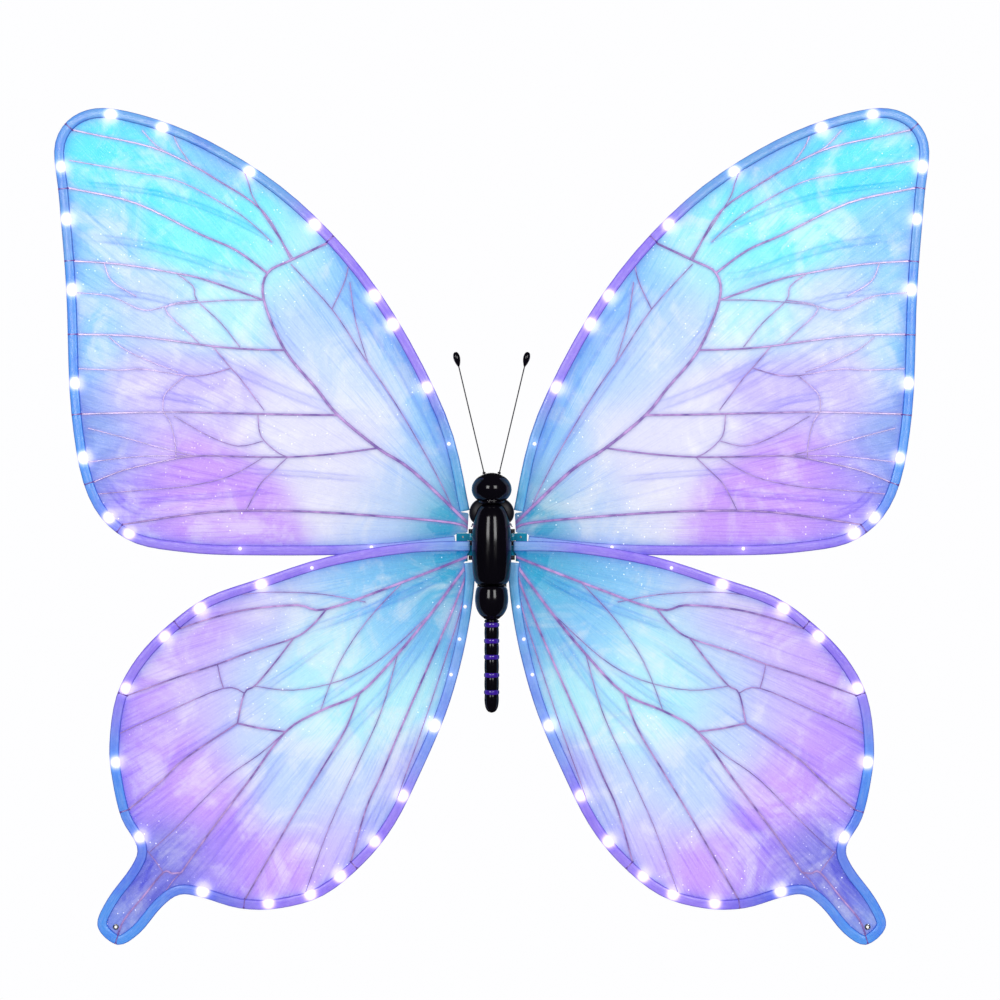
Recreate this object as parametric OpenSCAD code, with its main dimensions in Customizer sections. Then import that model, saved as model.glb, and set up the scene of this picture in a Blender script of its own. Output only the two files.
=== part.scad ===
/* [Wings] */
// Width of the clear edge sleeve that runs round each wing
sleeve_w = 10; // [9:0.5:11]
// Thickness of the edge sleeve, front to back
sleeve_t = 5; // [4.6:0.1:5]
// Wall of the edge sleeve round its wire channel
sleeve_wall = 1; // [0.8:0.1:1.2]
// Thickness of the printed wing film
film_t = 0.4; // [0.3:0.05:0.5]
// How far the main veins stand off the front of the film
spar_t = 0.9; // [0.6:0.1:1]
// How far the fine veins stand off the front of the film
vein_t = 0.5; // [0.3:0.1:0.6]
// Radius of one light bead
bead_r = 1.8; // [1.4:0.1:2]

/* [Body] */
// Radius of the thorax barrel at its widest
thorax_r = 19.5; // [19:0.1:19.5]
// Radius of the head at its widest
head_r = 20; // [18:0.5:21]
// Radius of the collar behind the neck
collar_r = 22.5; // [21:0.5:23]
// Radius of the abdomen bulb
abdomen_r = 16.6; // [15:0.1:17]
// Radius of the thin tail
tail_r = 7.2; // [6.4:0.1:7.6]
// Wall of the hollow body mouldings
shell_wall = 2; // [1.6:0.1:2.4]
// Thickness of an antenna wire
antenna_d = 1.2; // [1:0.1:1.6]

/* [Fold hinge] */
// Distance of the fold axis from the middle of the body
hinge_x = 20.8; // [20.6:0.1:21]
// Depth of the fold axis in front of the wearer's back
hinge_depth = 44.5; // [44.4:0.1:44.6]
// Radius of the hinge barrels
barrel_r = 2.4; // [2.2:0.1:2.4]
// Diameter of the steel hinge pin
pin_d = 2.4; // [2:0.1:2.6]

/* [Harness] */
// Height of the foam pad that lies on the wearer's back
pad_h = 54; // [50:1:54]
// Width of the foam pad
pad_w = 36; // [32:1:36]
// Thickness of the foam pad
pad_t = 12; // [10:0.5:12]
// Width of the elastic shoulder straps
strap_w = 12; // [10:0.5:12]
// Thickness of the elastic shoulder straps
strap_t = 1.2; // [1:0.1:1.4]

/* [Battery box] */
// Height of the battery box
box_h = 80; // [78:1:80]
// Half of the width of the battery box
box_half_w = 17.8; // [17.6:0.1:18]
// Wall of the battery box
box_wall = 1.6; // [1.4:0.1:1.8]
// Radius of one battery cell
cell_r = 5.2; // [5.1:0.05:5.25]
// Length of one battery cell
cell_l = 44.5; // [44:0.1:44.5]

/* [Hidden] */
$fn = 48;
plastic_black = "#15131a";
film_blue = "#9cc4f4";
sleeve_blue = "#8f9cf0";
vein_purple = "#6a4fb5";
teal = "#28b8d8";
light_warm = "#fff2fb";
steel = "#b8bcc4";
violet = "#4a2bb0";

// Depth planes, measured as y in front of the wearer's back, which lies at y = 0
plate_y = -12;
plate_t = 3;
box_back_y = plate_y - plate_t;
box_front_y = -36;
flange_y = -54;
shell_back_y = -56;
body_y = -62;
tail_y = -64;
fore_mid_y = -44;
hind_mid_y = -49.5;
hinge_y = -hinge_depth;
box_top = 36;
box_bottom = box_top - box_h;

// Forewing outline from the root, up the leading edge, round the tip and back along the lower edge
FORE_EDGE = [[22, 30], [46, 126], [112, 248], [194, 340], [284, 400], [366, 429.5], [412, 428],
    [437, 398], [433, 340], [426, 250], [421, 128], [404, 44], [366, 1], [306, -12.5],
    [230, -15.5], [120, -14], [36, -6]];
// Film corners between the two ends of the forewing sleeve
FORE_ROOT = [[35, 7.2], [24.2, 7.5], [23.9, 12], [23, 27]];
// Hindwing outline from the root, along the top, round the tail and back up the inner edge
HIND_EDGE = [[22, -1], [84, -3], [163, -16.5], [232, -38.5], [284, -57], [322, -84], [354, -117],
    [375, -156], [382, -204], [379, -240], [370, -278], [354.5, -306], [360, -326], [384, -359],
    [394, -386], [374, -404.5], [352, -393], [330, -367], [312, -354.5], [290, -357],
    [252, -368], [212, -368], [168, -355], [128, -323], [97, -284], [70, -230], [46, -174],
    [31, -124], [21.5, -78], [17, -40], [18, -22]];
// Film corners between the two ends of the hindwing sleeve
HIND_ROOT = [[24.5, -18], [24.5, -14]];

// Light beads, in quarter steps along the outline: 2.5 is halfway between its points 2 and 3
FORE_LIGHTS = [0.75, 1.25, 1.75, 2, 2.75, 3.5, 4.5, 5.25, 7.5, 8.25, 9, 9.75, 10.5, 11.5, 12, 13.75, 15];
HIND_LIGHTS = [2.25, 3, 4.25, 5.25, 6.75, 8.5, 10.75, 19, 20.75, 21.75, 22.5, 23.5, 24.5, 25.75, 26.75,
    27.5, 28.25];

// Veins: first the width at the root end and at the far end, then the points along the vein
FORE_SPARS = [
    [3, 2, [[22, 15], [79, 69], [114, 92], [154, 125], [175, 151], [207, 190], [228, 240],
        [224.5, 267], [201, 280], [165, 297]]],
    [2.4, 1.6, [[22, 9], [38, 17], [120, 24.5], [202, 29], [280, 28], [366, 16], [392, 12]]],
    [2, 1.6, [[224.5, 267], [256, 290], [292, 306], [356, 337], [412, 350], [434, 354]]],
    [1.8, 1.5, [[228, 240], [262, 252], [292, 262], [316, 267], [372, 276], [432, 280]]],
    [1.8, 1.5, [[207, 190], [244, 191], [279.5, 194], [331, 201], [374, 205], [430, 206]]],
    [2, 1.6, [[154, 125], [202, 125.5], [268, 127], [331, 128], [430, 125.5]]],
    [1.6, 1.2, [[114, 92], [160, 86], [205, 83], [252, 83.5], [297, 84], [338, 77], [374, 68], [412, 52]]],
    [1.6, 1.4, [[201, 281], [229, 329], [276, 361], [300, 375], [340, 393], [404, 407], [432, 413]]]];
HIND_SPARS = [
    [2.4, 1.5, [[20, -15], [89, -42], [165, -69], [194, -65], [242, -69], [280, -78], [316, -90]]],
    [2.6, 1.6, [[19, -17], [59.5, -72], [94, -114], [132, -153], [171, -170.5], [206, -191.5],
        [241.5, -239], [281, -291], [310, -332]]],
    [2, 1.4, [[19, -18], [37, -65], [59.5, -117], [89, -184], [111, -236], [126, -270], [143, -330]]],
    [1.6, 1.4, [[165, -69], [180, -86], [198, -98], [242, -112], [274, -124], [314, -137], [366, -156]]],
    [1.5, 1.4, [[198, -98], [217, -123], [236, -145], [247, -153], [254, -183]]],
    [1.5, 1.4, [[254, -183], [306, -218], [328, -239], [355, -263], [376, -278]]],
    [1.8, 1.6, [[254, -183], [231, -188], [206, -191.5]]],
    [1.6, 1.4, [[132, -153], [146, -189], [168, -226], [195, -270], [221, -315], [254, -372]]],
    [1.8, 1.6, [[310, -332], [319, -333], [328, -332], [348, -356], [367, -379], [374, -396]]]];
FORE_VEINS = [
    [1, 0.8, [[300, 375], [313, 393], [318, 404]]],
    [1, 0.8, [[321, 386], [335, 394], [350, 410]]],
    [1, 0.8, [[199, 282], [236, 338], [243, 356], [248, 370]]],
    [0.9, 0.7, [[228, 240], [262, 240], [316, 236], [348, 230], [382, 244], [424, 248]]],
    [1, 0.8, [[316, 267], [299, 254], [295, 240], [271, 217], [252, 193]]],
    [1, 0.8, [[295, 240], [327, 232], [300, 204], [292, 196]]],
    [1, 0.8, [[388, 277], [380, 259], [356, 244]]],
    [0.9, 0.7, [[423, 380], [350, 367], [308, 357], [252, 326], [220, 298]]],
    [1.1, 0.8, [[279.5, 194], [261, 172], [252, 162], [228, 130]]],
    [1.1, 0.8, [[261, 172], [297, 164], [348, 171], [374, 170], [424, 172]]],
    [0.9, 0.7, [[314, 168], [340, 178], [366, 190], [383, 203]]],
    [1, 0.8, [[306, 165], [318, 155], [328, 144], [329, 128]]],
    [1, 0.8, [[297, 84], [330, 92], [366, 102], [404, 112]]],
    [0.9, 0.7, [[300, 84], [348, 84], [404, 78]]],
    [1, 0.8, [[204, 83], [215, 88], [231, 104], [234, 126]]],
    [1, 0.8, [[329, 128], [322, 118], [317, 98], [316, 82]]],
    [0.9, 0.7, [[318, 124], [283, 104], [254, 94], [229, 99]]],
    [0.9, 0.7, [[204, 83], [222, 66], [233, 54], [246, 29]]],
    [0.8, 0.6, [[394, 46], [350, 50], [304, 54], [262, 64], [228, 83]]],
    [0.9, 0.7, [[201, 276], [160, 231], [130, 186], [99, 141], [62, 78], [40, 34]]],
    [0.9, 0.7, [[160, 231], [146, 262], [142, 290]]],
    [0.8, 0.6, [[142, 258], [136, 218], [124, 178]]]];
HIND_VEINS = [
    [1, 0.8, [[247, -153], [268, -148], [325, -172], [365, -190], [382, -199]]],
    [0.9, 0.7, [[268, -148], [271, -138], [274, -124]]],
    [0.9, 0.7, [[206, -191.5], [216, -200], [222, -206]]],
    [0.9, 0.7, [[308, -330], [318, -340], [326, -352], [330, -366]]],
    [0.9, 0.7, [[328, -332], [338, -318], [348, -306]]],
    [0.9, 0.7, [[19, -18], [31, -70], [48, -124], [70, -190], [88, -240], [104, -288]]],
    [0.8, 0.6, [[94, -114], [110, -170], [134, -224], [162, -286], [186, -352]]],
    [0.8, 0.6, [[89, -42], [124, -80], [152, -122], [171, -170]]],
    [0.8, 0.6, [[59.5, -72], [110, -118], [150, -140], [198, -150], [236, -146]]],
    [0.8, 0.6, [[206, -192], [232, -214], [268, -240], [318, -290], [342, -312]]],
    [0.8, 0.6, [[126, -62], [170, -54], [222, -52], [262, -56]]]];

// Side outline of a strap loop as [y, z] from the upper slot of the plate to the lower one
STRAP_ROUTE = [[-18, 30], [-8, 30], [18, 32], [58, 36], [104, 34], [146, 22], [169, -4], [169, -32],
    [156, -49], [136, -56], [116, -56], [96, -56], [76, -56], [56, -56], [34, -53], [12, -43],
    [-8, -38], [-18, -38]];
strap_x = 9;
adjuster_y = 86;
adjuster_z = -56;
slot_top_z = 30;
slot_bottom_z = -38;
pad_bottom_z = -27;

// Hinge barrels along the fold axis as [lowest z, highest z]: lugs on the body, knuckles on the wing
LUG_SPANS = [[7, 11], [-5, -1], [-20, -16]];
KNUCKLE_SPANS = [[-0.6, 6.6], [-15.6, -5.4]];
washer_t = 0.3;

// Antennae: the foot is a short barrel in a groove in the head, and the tip leans out to the side
antenna_x = 7.5;
antenna_z = 66.4;
antenna_reach = 27;
antenna_rise = 114;
antenna_lean = atan2(antenna_reach, antenna_rise);
antenna_l = norm([antenna_reach, antenna_rise]);

// Middle heights of the body mouldings
head_z = 51.5;
head_half_h = 16.2;
collar_z = 29;
collar_half_h = 14.5;
BAND_Z = [-84, -100, -116, -134, -151];
band_h = 5;
spigot_r = 4.6;

// ---- Curves ----

// A smooth curve between b and c, with a and d as its neighbours
function curve_point(a, b, c, d, t) =
    0.5 * (2 * b + (c - a) * t + (2 * a - 5 * b + 4 * c - d) * t * t + (3 * b - a - 3 * c + d) * t * t * t);

// The point at place s along a list of outline points
function place(pts, s) =
    let (n = len(pts), i = min(floor(s), n - 2))
    curve_point(pts[max(i - 1, 0)], pts[i], pts[i + 1], pts[min(i + 2, n - 1)], s - i);

// The whole curve, with a number of steps between each two points
function curve(pts, steps) =
    [for (i = [0 : (len(pts) - 1) * steps]) place(pts, i / steps)];

// Unit vector across the curve at point i, to the right of its direction of travel
function across(c, i) =
    let (d = c[min(i + 1, len(c) - 1)] - c[max(i - 1, 0)])
    [d[1], -d[0]] / norm(d);

// The curve moved sideways by w, which can grow from w0 to w1 along it
function moved(c, w0, w1) =
    [for (i = [0 : len(c) - 1]) c[i] + across(c, i) * (w0 + (w1 - w0) * i / (len(c) - 1))];

function backwards(c) = [for (i = [len(c) - 1 : -1 : 0]) c[i]];

// The closed strip between two sideways distances from a curve
function strip(c, near, far) = concat(moved(c, near, near), backwards(moved(c, far, far)));

// A vein as a closed outline that narrows from w0 to w1
function vein_outline(c, w0, w1) = concat(moved(c, w0 / 2, w1 / 2), backwards(moved(c, -w0 / 2, -w1 / 2)));

fore_curve = curve(FORE_EDGE, 5);
hind_curve = curve(HIND_EDGE, 4);
fore_film_shape = concat(moved(fore_curve, sleeve_w, sleeve_w), FORE_ROOT);
hind_film_shape = concat(moved(hind_curve, sleeve_w, sleeve_w), HIND_ROOT);

// ---- Building blocks ----

// Draws for the right side, or mirrored for the left
module on_side(side) {
    mirror([side < 0 ? 1 : 0, 0, 0]) children();
}

// A flat outline in x and z, made into a slab between two depths
module slab(y_low, y_high) {
    translate([0, y_high, 0]) rotate([90, 0, 0]) linear_extrude(y_high - y_low) children();
}

// A flat rounded rectangle
module rounded(w, h, r) {
    translate([r - w / 2, r - h / 2]) square([w - 2 * r, h - 2 * r]);
    for (sx = [-1, 1]) {
        translate([sx * (w / 2 - r) - r, r - h / 2]) square([2 * r, h - 2 * r]);
        translate([r - w / 2, sx * (h / 2 - r) - r]) square([w - 2 * r, 2 * r]);
        for (sz = [-1, 1]) translate([sx * (w / 2 - r), sz * (h / 2 - r)]) circle(r);
    }
}

// A rod along y between two depths
module rod_y(x, z, r, y_low, y_high) {
    translate([x, y_high, z]) rotate([90, 0, 0]) cylinder(r = r, h = y_high - y_low);
}

// A turned moulding about an upright axis at depth y
module turned(y, profile) {
    translate([0, y, 0]) rotate_extrude($fn = 96) polygon(profile);
}

// Points of a half ellipse from top to bottom, with its middle at height z
function half_ellipse(r, half_h, z, from, to, steps) =
    [for (i = [0 : steps]) let (a = from + (to - from) * i / steps) [r * cos(a), z + half_h * sin(a)]];

// A hollow sleeve that follows a wing outline
module edge_sleeve(c, mid_y) {
    difference() {
        slab(mid_y - sleeve_t / 2, mid_y + sleeve_t / 2) polygon(strip(c, 0, sleeve_w));
        slab(mid_y - sleeve_t / 2 + sleeve_wall, mid_y + sleeve_t / 2 - sleeve_wall)
            polygon(strip(c, 1.5 * sleeve_wall, sleeve_w - 1.5 * sleeve_wall));
    }
}

// Flat outlines of a list of veins, clipped to the film that they are fixed to
module vein_shapes(veins, film_shape) {
    intersection() {
        union() {
            for (v = veins) polygon(vein_outline(curve(v[2], 4), v[0], v[1]));
        }
        polygon(film_shape);
    }
}

// Main veins that stand off the front of a film
module main_web(spars, film_shape, mid_y) {
    slab(mid_y - film_t / 2 - spar_t, mid_y - film_t / 2) vein_shapes(spars, film_shape);
}

// Fine veins between the main ones
module fine_web(veins, spars, film_shape, mid_y) {
    slab(mid_y - film_t / 2 - vein_t, mid_y - film_t / 2) difference() {
        vein_shapes(veins, film_shape);
        vein_shapes(spars, film_shape);
    }
}

// A flat wire in the sleeve channel with light beads in front of it
module light_string(edge, c, lights, mid_y) {
    ribbon_half = 0.5;
    gap = 0.05;
    bead_in = sleeve_w - 1.5 * sleeve_wall - bead_r - 0.1;
    slab(mid_y - ribbon_half, mid_y + ribbon_half)
        polygon(strip(c, sleeve_w / 2 - ribbon_half, sleeve_w / 2 + ribbon_half));
    for (s = lights) {
        step = 0.02;
        way = place(edge, s + step) - place(edge, s - step);
        p = place(edge, s) + [way[1], -way[0]] / norm(way) * bead_in;
        rod_y(p[0], p[1], bead_r, mid_y - 1.45, mid_y - ribbon_half - gap);
    }
}

// ---- Harness ----

module back_pad() {
    color("#2a2a30") translate([0, 0, pad_bottom_z + pad_h / 2])
        slab(-pad_t, 0) rounded(pad_w, pad_h, 8);
}

// Places of the screws that hold the plate to the battery box
SCREW_SPOTS = [[0, 22], [-14, 1], [14, 1], [-14, -27], [14, -27]];
screw_r = 1.2;
head_screw_r = 2.3;
head_screw_t = 1.4;

module harness_plate() {
    color(plastic_black) difference() {
        union() {
            translate([0, 0, box_top - box_h / 2])
                slab(box_back_y, plate_y) rounded(2 * box_half_w, box_h, 7);
            for (sx = [-1, 1])
                translate([sx * 10 - 2, box_back_y, box_bottom - 4]) cube([4, plate_t, 6]);
        }
        for (sx = [-1, 1]) {
            for (z = [slot_top_z, slot_bottom_z])
                translate([sx * strap_x - strap_w / 2 - 0.3, box_back_y - 1, z - 1.2])
                    cube([strap_w + 0.6, plate_t + 2, 2.4]);
        }
        for (p = SCREW_SPOTS) {
            rod_y(p[0], p[1], screw_r, box_back_y - 1, plate_y + 1);
            rod_y(p[0], p[1], head_screw_r, plate_y - head_screw_t - 0.2, plate_y + 1);
        }
        translate([-14, (box_back_y + plate_y) / 2, box_bottom - 2.2])
            rotate([0, 90, 0]) cylinder(r = 0.7, h = 28);
    }
}

module harness_screws() {
    color(steel) for (p = SCREW_SPOTS) {
        rod_y(p[0], p[1], screw_r, box_back_y - 7, plate_y - head_screw_t - 0.2);
        rod_y(p[0], p[1], head_screw_r, plate_y - head_screw_t - 0.2, plate_y - 0.2);
    }
}

// A shoulder loop of flat elastic with a folded and sewn end inside the box at each slot
module strap(side) {
    c = curve(STRAP_ROUTE, 3);
    color("#1c1c22") on_side(side) translate([strap_x - strap_w / 2, 0, 0])
        rotate([90, 0, 90]) linear_extrude(strap_w) union() {
            polygon(strip(c, -strap_t / 2, strap_t / 2));
            for (z = [slot_top_z, slot_bottom_z]) translate([-18, z - 2]) square([2.4, 4]);
        }
}

// A sliding buckle that the elastic runs through
module adjuster(side) {
    w = 14.6;
    l = 15;
    h = 4;
    color(plastic_black) on_side(side) translate([strap_x, adjuster_y, adjuster_z]) difference() {
        translate([-w / 2, -l / 2, -h / 2]) cube([w, l, h]);
        translate([-strap_w / 2 - 0.3, -l / 2 - 1, -strap_t / 2 - 0.4])
            cube([strap_w + 0.6, l + 2, strap_t + 0.8]);
        for (sy = [-1, 1])
            translate([-strap_w / 2 - 0.3, sy * 3.4 - 1.7, -h / 2 - 1]) cube([strap_w + 0.6, 3.4, h + 2]);
    }
}

// ---- Battery box ----

button_z = 13;
button_y = -25;
button_r = 2.9;
opening_half_w = 11.2;
cell_y = -26;

module battery_box() {
    depth = box_back_y - box_front_y;
    color(plastic_black) difference() {
        translate([0, 0, box_top - box_h / 2])
            slab(box_front_y, box_back_y) rounded(2 * box_half_w, box_h, 7);
        difference() {
            translate([0, 0, box_top - box_h / 2])
                slab(box_front_y + box_wall, box_back_y + 1)
                rounded(2 * (box_half_w - box_wall), box_h - 2 * box_wall, 5.4);
            for (p = SCREW_SPOTS) rod_y(p[0], p[1], 2.4, box_front_y, box_back_y);
        }
        for (p = SCREW_SPOTS) rod_y(p[0], p[1], screw_r, box_back_y - 7, box_back_y + 1);
        translate([-opening_half_w, cell_y - 6, box_bottom - 1])
            cube([2 * opening_half_w, 12, box_wall + 2]);
        translate([box_half_w - box_wall - 1, button_y, button_z])
            rotate([0, 90, 0]) cylinder(r = button_r + 0.1, h = box_wall + 2);
        for (z = [-12, 12]) rod_y(0, z, screw_r, box_front_y - 1, box_front_y + box_wall + 1);
        for (sx = [-1, 1]) rod_y(sx * 11, 27, 1.3, box_front_y - 1, box_front_y + box_wall + 1);
    }
}

module battery_door() {
    pin_y = (box_back_y + plate_y) / 2;
    pin_z = box_bottom - 2.2;
    color(plastic_black) difference() {
        union() {
            translate([-12.8, -33.5, box_bottom - 2.4]) cube([25.6, 17, 2]);
            translate([-7, -17, box_bottom - 2.4]) cube([14, 3.5, 1.2]);
            translate([-7.6, pin_y, pin_z]) rotate([0, 90, 0]) cylinder(r = 1.5, h = 15.2);
            translate([-5, -31.6, box_bottom - 0.6]) cube([10, 1, 2]);
        }
        translate([-8, pin_y, pin_z]) rotate([0, 90, 0]) cylinder(r = 0.75, h = 16);
    }
}

module door_pin() {
    color(steel) translate([-12, (box_back_y + plate_y) / 2, box_bottom - 2.2])
        rotate([0, 90, 0]) cylinder(r = 0.7, h = 24);
}

module battery_cells() {
    color("#6f7fd8") for (sx = [-1, 1]) translate([sx * 5.4, cell_y, -41]) {
        cylinder(r = cell_r, h = cell_l - 0.8);
        cylinder(r = 1.9, h = cell_l);
    }
}

module battery_contacts() {
    contact_z = cell_l - 40.9;
    color(steel) {
        for (sx = [-1, 1])
            translate([sx * 5.4 - 4, cell_y - 4, contact_z]) cube([8, 8, 0.5]);
        translate([-10, cell_y + 5.6, contact_z]) cube([20, 0.6, 4]);
    }
}

module circuit_board() {
    board_z = 8;
    color("#1f6b45") translate([-14, -31.6, board_z]) cube([28, 1.4, 10.4]);
    color("#222222") {
        translate([-4, -30.2, board_z + 2]) cube([6.4, 1.6, 6.4]);
        translate([8.4, -30.2, button_z - 3]) cube([4, 6.6, 6]);
    }
    color(steel) for (x = [-11, -8]) translate([x, -29.3, board_z + 3]) cylinder(r = 0.9, h = 5);
}

module power_button() {
    color(violet) translate([13.7, button_y, button_z]) rotate([0, 90, 0]) {
        translate([0, 0, 1.2]) cylinder(r = 3.8, h = 1.2);
        cylinder(r = 1.4, h = 1.2);
        translate([0, 0, 2.4]) cylinder(r = button_r, h = 2.8);
    }
}

// ---- Body frame and mouldings ----

chassis_top = 33;
chassis_bottom = -43;

module chassis() {
    h = chassis_top - chassis_bottom;
    color(plastic_black) difference() {
        union() {
            translate([-12, flange_y - 2, chassis_bottom]) cube([24, 2, h]);
            translate([-5, flange_y, chassis_bottom]) cube([10, box_front_y - flange_y, h]);
            translate([-12, box_front_y - 2.4, chassis_bottom]) cube([24, 2.4, h]);
            for (span = LUG_SPANS) {
                for (sx = [-1, 1]) {
                    translate([sx * hinge_x, hinge_y, span[0]]) cylinder(r = barrel_r, h = span[1] - span[0]);
                    translate([sx > 0 ? 4 : -hinge_x, hinge_y - 1.2, span[0]])
                        cube([hinge_x - 4, 3.6, span[1] - span[0]]);
                }
            }
        }
        for (sx = [-1, 1]) {
            translate([sx * hinge_x, hinge_y, -21]) cylinder(r = pin_d / 2, h = 33);
        }
        for (z = [-12, 12]) rod_y(0, z, screw_r, box_front_y - 8, box_front_y + 1);
        for (sx = [-1, 1])
            translate([sx * 11.6 - 2.4, box_front_y - 3, 23.6]) cube([4.8, 4, 5.2]);
        for (boss = BOSSES) {
            for (sx = [-1, 1]) rod_y(sx * boss_x, boss[0], screw_r, shell_back_y - 1, flange_y + 1);
        }
    }
}

module chassis_screws() {
    color(steel) {
        for (z = [-12, 12]) {
            rod_y(0, z, screw_r, box_front_y - 7, box_front_y + box_wall);
            rod_y(0, z, head_screw_r, box_front_y + box_wall, box_front_y + box_wall + head_screw_t);
        }
        for (boss = BOSSES) {
            for (sx = [-1, 1]) {
                rod_y(sx * boss_x, boss[0], screw_r, shell_back_y - 7, flange_y);
                rod_y(sx * boss_x, boss[0], head_screw_r, flange_y, flange_y + head_screw_t);
            }
        }
    }
}

// The barrel stands in front of the chassis, open at the back
THORAX_SIDE = [[8, 36], [13, 33], [16.5, 25.5], [18.7, 14], [19.5, 2], [19.5, -20], [18.6, -34],
    [16.4, -42], [12, -44.5]];

function thorax_profile(inset) =
    [for (p = THORAX_SIDE)
        [(p[0] - inset) * thorax_r / 19.5, p[1] > 0 ? p[1] - inset * 0.6 : p[1] + inset * 0.6]];

// Screw bosses in the barrel as [height, how far they reach in front of its axis]
BOSSES = [[-26, 14.8], [22, 12.2]];
boss_x = 8.6;
boss_r = 3;

module thorax_shell() {
    outer = thorax_profile(0);
    inner = thorax_profile(shell_wall);
    color("#0c0b10") difference() {
        union() {
            difference() {
                turned(body_y, concat([[0, 36.6]], outer, [[0, -44.5], [0, -42.5]],
                    backwards(inner), [[0, 34.6]]));
                translate([-30, shell_back_y, -60]) cube([60, 40, 120]);
                translate([0, tail_y, -50]) cylinder(r = spigot_r, h = 10);
            }
            for (boss = BOSSES) {
                for (sx = [-1, 1]) rod_y(sx * boss_x, boss[0], boss_r, body_y - boss[1], shell_back_y);
            }
        }
        for (boss = BOSSES) {
            for (sx = [-1, 1]) rod_y(sx * boss_x, boss[0], screw_r, shell_back_y - 8, shell_back_y + 1);
        }
    }
}

// Two side lobes behind the barrel, open in front where the barrel stands
module collar() {
    lobe = half_ellipse(collar_r, collar_half_h, collar_z, 46, -62, 12);
    color("#0c0b10") union() {
        intersection() {
            difference() {
                turned(body_y, concat([[0, 39.43]], lobe, [[0, 16.2]]));
                turned(body_y, concat([[0, 36.7]], [for (p = THORAX_SIDE) [p[0] + 0.1, p[1] + 0.1]],
                    [[0, -44.5]]));
            }
            translate([-30, body_y - 4, 0]) cube([60, 4 + shell_back_y - body_y, 60]);
        }
        turned(body_y - 1, [[0, 36.8], [12.4, 36.8], [13.4, 37.6], [13.4, 38.6], [12.4, 39.4], [9, 39.6],
            [9, 41.6], [5, 42], [0, 42]]);
    }
}

module head() {
    wall_r = head_r - shell_wall;
    wall_h = head_half_h - shell_wall;
    color("#0c0b10") difference() {
        turned(body_y - 1, concat(half_ellipse(head_r, head_half_h, head_z, 90, -47, 24), [[0, 39.65]]));
        turned(body_y - 1, concat(half_ellipse(wall_r, wall_h, head_z, 90, -38, 18), [[0, 42.8]]));
        translate([0, body_y - 1, 30]) cylinder(r = 9.1, h = 14);
        for (sx = [-1, 1]) translate([sx * antenna_x - 1.7, body_y - 1, antenna_z])
            rotate([0, 90, 0]) cylinder(r = 1.7, h = 3.4);
    }
}

module abdomen() {
    color("#0c0b10") difference() {
        turned(tail_y, concat([[0, -39], [spigot_r, -39], [spigot_r, -44.7], [12, -44.7], [14.6, -47]],
            half_ellipse(abdomen_r, 19, -60, 40, -70, 12), [[6, -78.6], [0, -78.6]]));
        translate([0, tail_y, -90]) cylinder(r = 4, h = 20);
    }
}

// A thin rod with a spigot in the abdomen and a groove under each bright band
module tail() {
    groove = 1;
    tip_z = -171.5;
    grooved = [for (z = BAND_Z)
        each [[tail_r, z + band_h / 2], [tail_r - groove, z + band_h / 2],
            [tail_r - groove, z - band_h / 2], [tail_r, z - band_h / 2]]];
    color("#0c0b10") turned(tail_y, concat(
            [[0, -70.5], [3.95, -70.5], [3.95, -78.7], [tail_r - 0.8, -78.7], [tail_r, -79.4]],
        grooved, [[tail_r, -160], [tail_r - 1, -166], [tail_r - 3, -170], [0, tip_z]]));
}

module tail_bands() {
    color(violet) for (z = BAND_Z)
        turned(tail_y, [[tail_r - 1, z - band_h / 2], [tail_r, z - band_h / 2], [tail_r + 0.4, z - 1.2],
            [tail_r + 0.4, z + 1.2], [tail_r, z + band_h / 2], [tail_r - 1, z + band_h / 2]]);
}

// ---- Antennae ----

module antenna_wire(side) {
    color(plastic_black) on_side(side) translate([antenna_x, body_y - 1, antenna_z]) union() {
        translate([-1.5, 0, 0]) rotate([0, 90, 0]) cylinder(r = 1.6, h = 3);
        rotate([0, antenna_lean, 0]) cylinder(r = antenna_d / 2, h = antenna_l - 8);
    }
}

module antenna_tip(side) {
    tip = concat([[antenna_d / 2, -8], [1.6, -6.5]], half_ellipse(3.4, 5.4, 1.6, -50, 90, 10));
    color("#0c0b10") on_side(side) translate([antenna_x, body_y - 1, antenna_z])
        rotate([0, antenna_lean, 0]) translate([0, 0, antenna_l]) difference() {
            rotate_extrude() polygon(concat([[0, -8]], tip));
            translate([0, 0, -9]) cylinder(r = antenna_d / 2, h = 1);
        }
}

// ---- Fold hinge ----

module hinge_pin(side) {
    color(steel) on_side(side) translate([hinge_x, hinge_y, -20]) cylinder(r = pin_d / 2, h = 31);
}

module hinge_washers() {
    color(steel) for (sx = [-1, 1]) {
        for (z = [LUG_SPANS[0][0] - washer_t, LUG_SPANS[1][1], LUG_SPANS[1][0] - washer_t, LUG_SPANS[2][1]])
            translate([sx * hinge_x, hinge_y, z]) difference() {
                cylinder(r = barrel_r, h = washer_t);
                translate([0, 0, -1]) cylinder(r = pin_d / 2, h = washer_t + 2);
            }
    }
}

// Depths of the wing bracket and of the gusset plates on the backs of the films
spine_low = fore_mid_y - 2.4;
spine_high = fore_mid_y + film_t / 2;
foot_low = hind_mid_y + film_t / 2 + 1.4;
fore_gusset_t = 1.2;
rivet_r = 1;
rivet_head_r = 1.8;
rivet_head_t = 0.7;
FORE_RIVET_Z = [-2, 3];
FORE_RIVET_X = 29;
HIND_RIVET_X = [26.6, 31];
HIND_RIVET_Z = -16.5;

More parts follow.
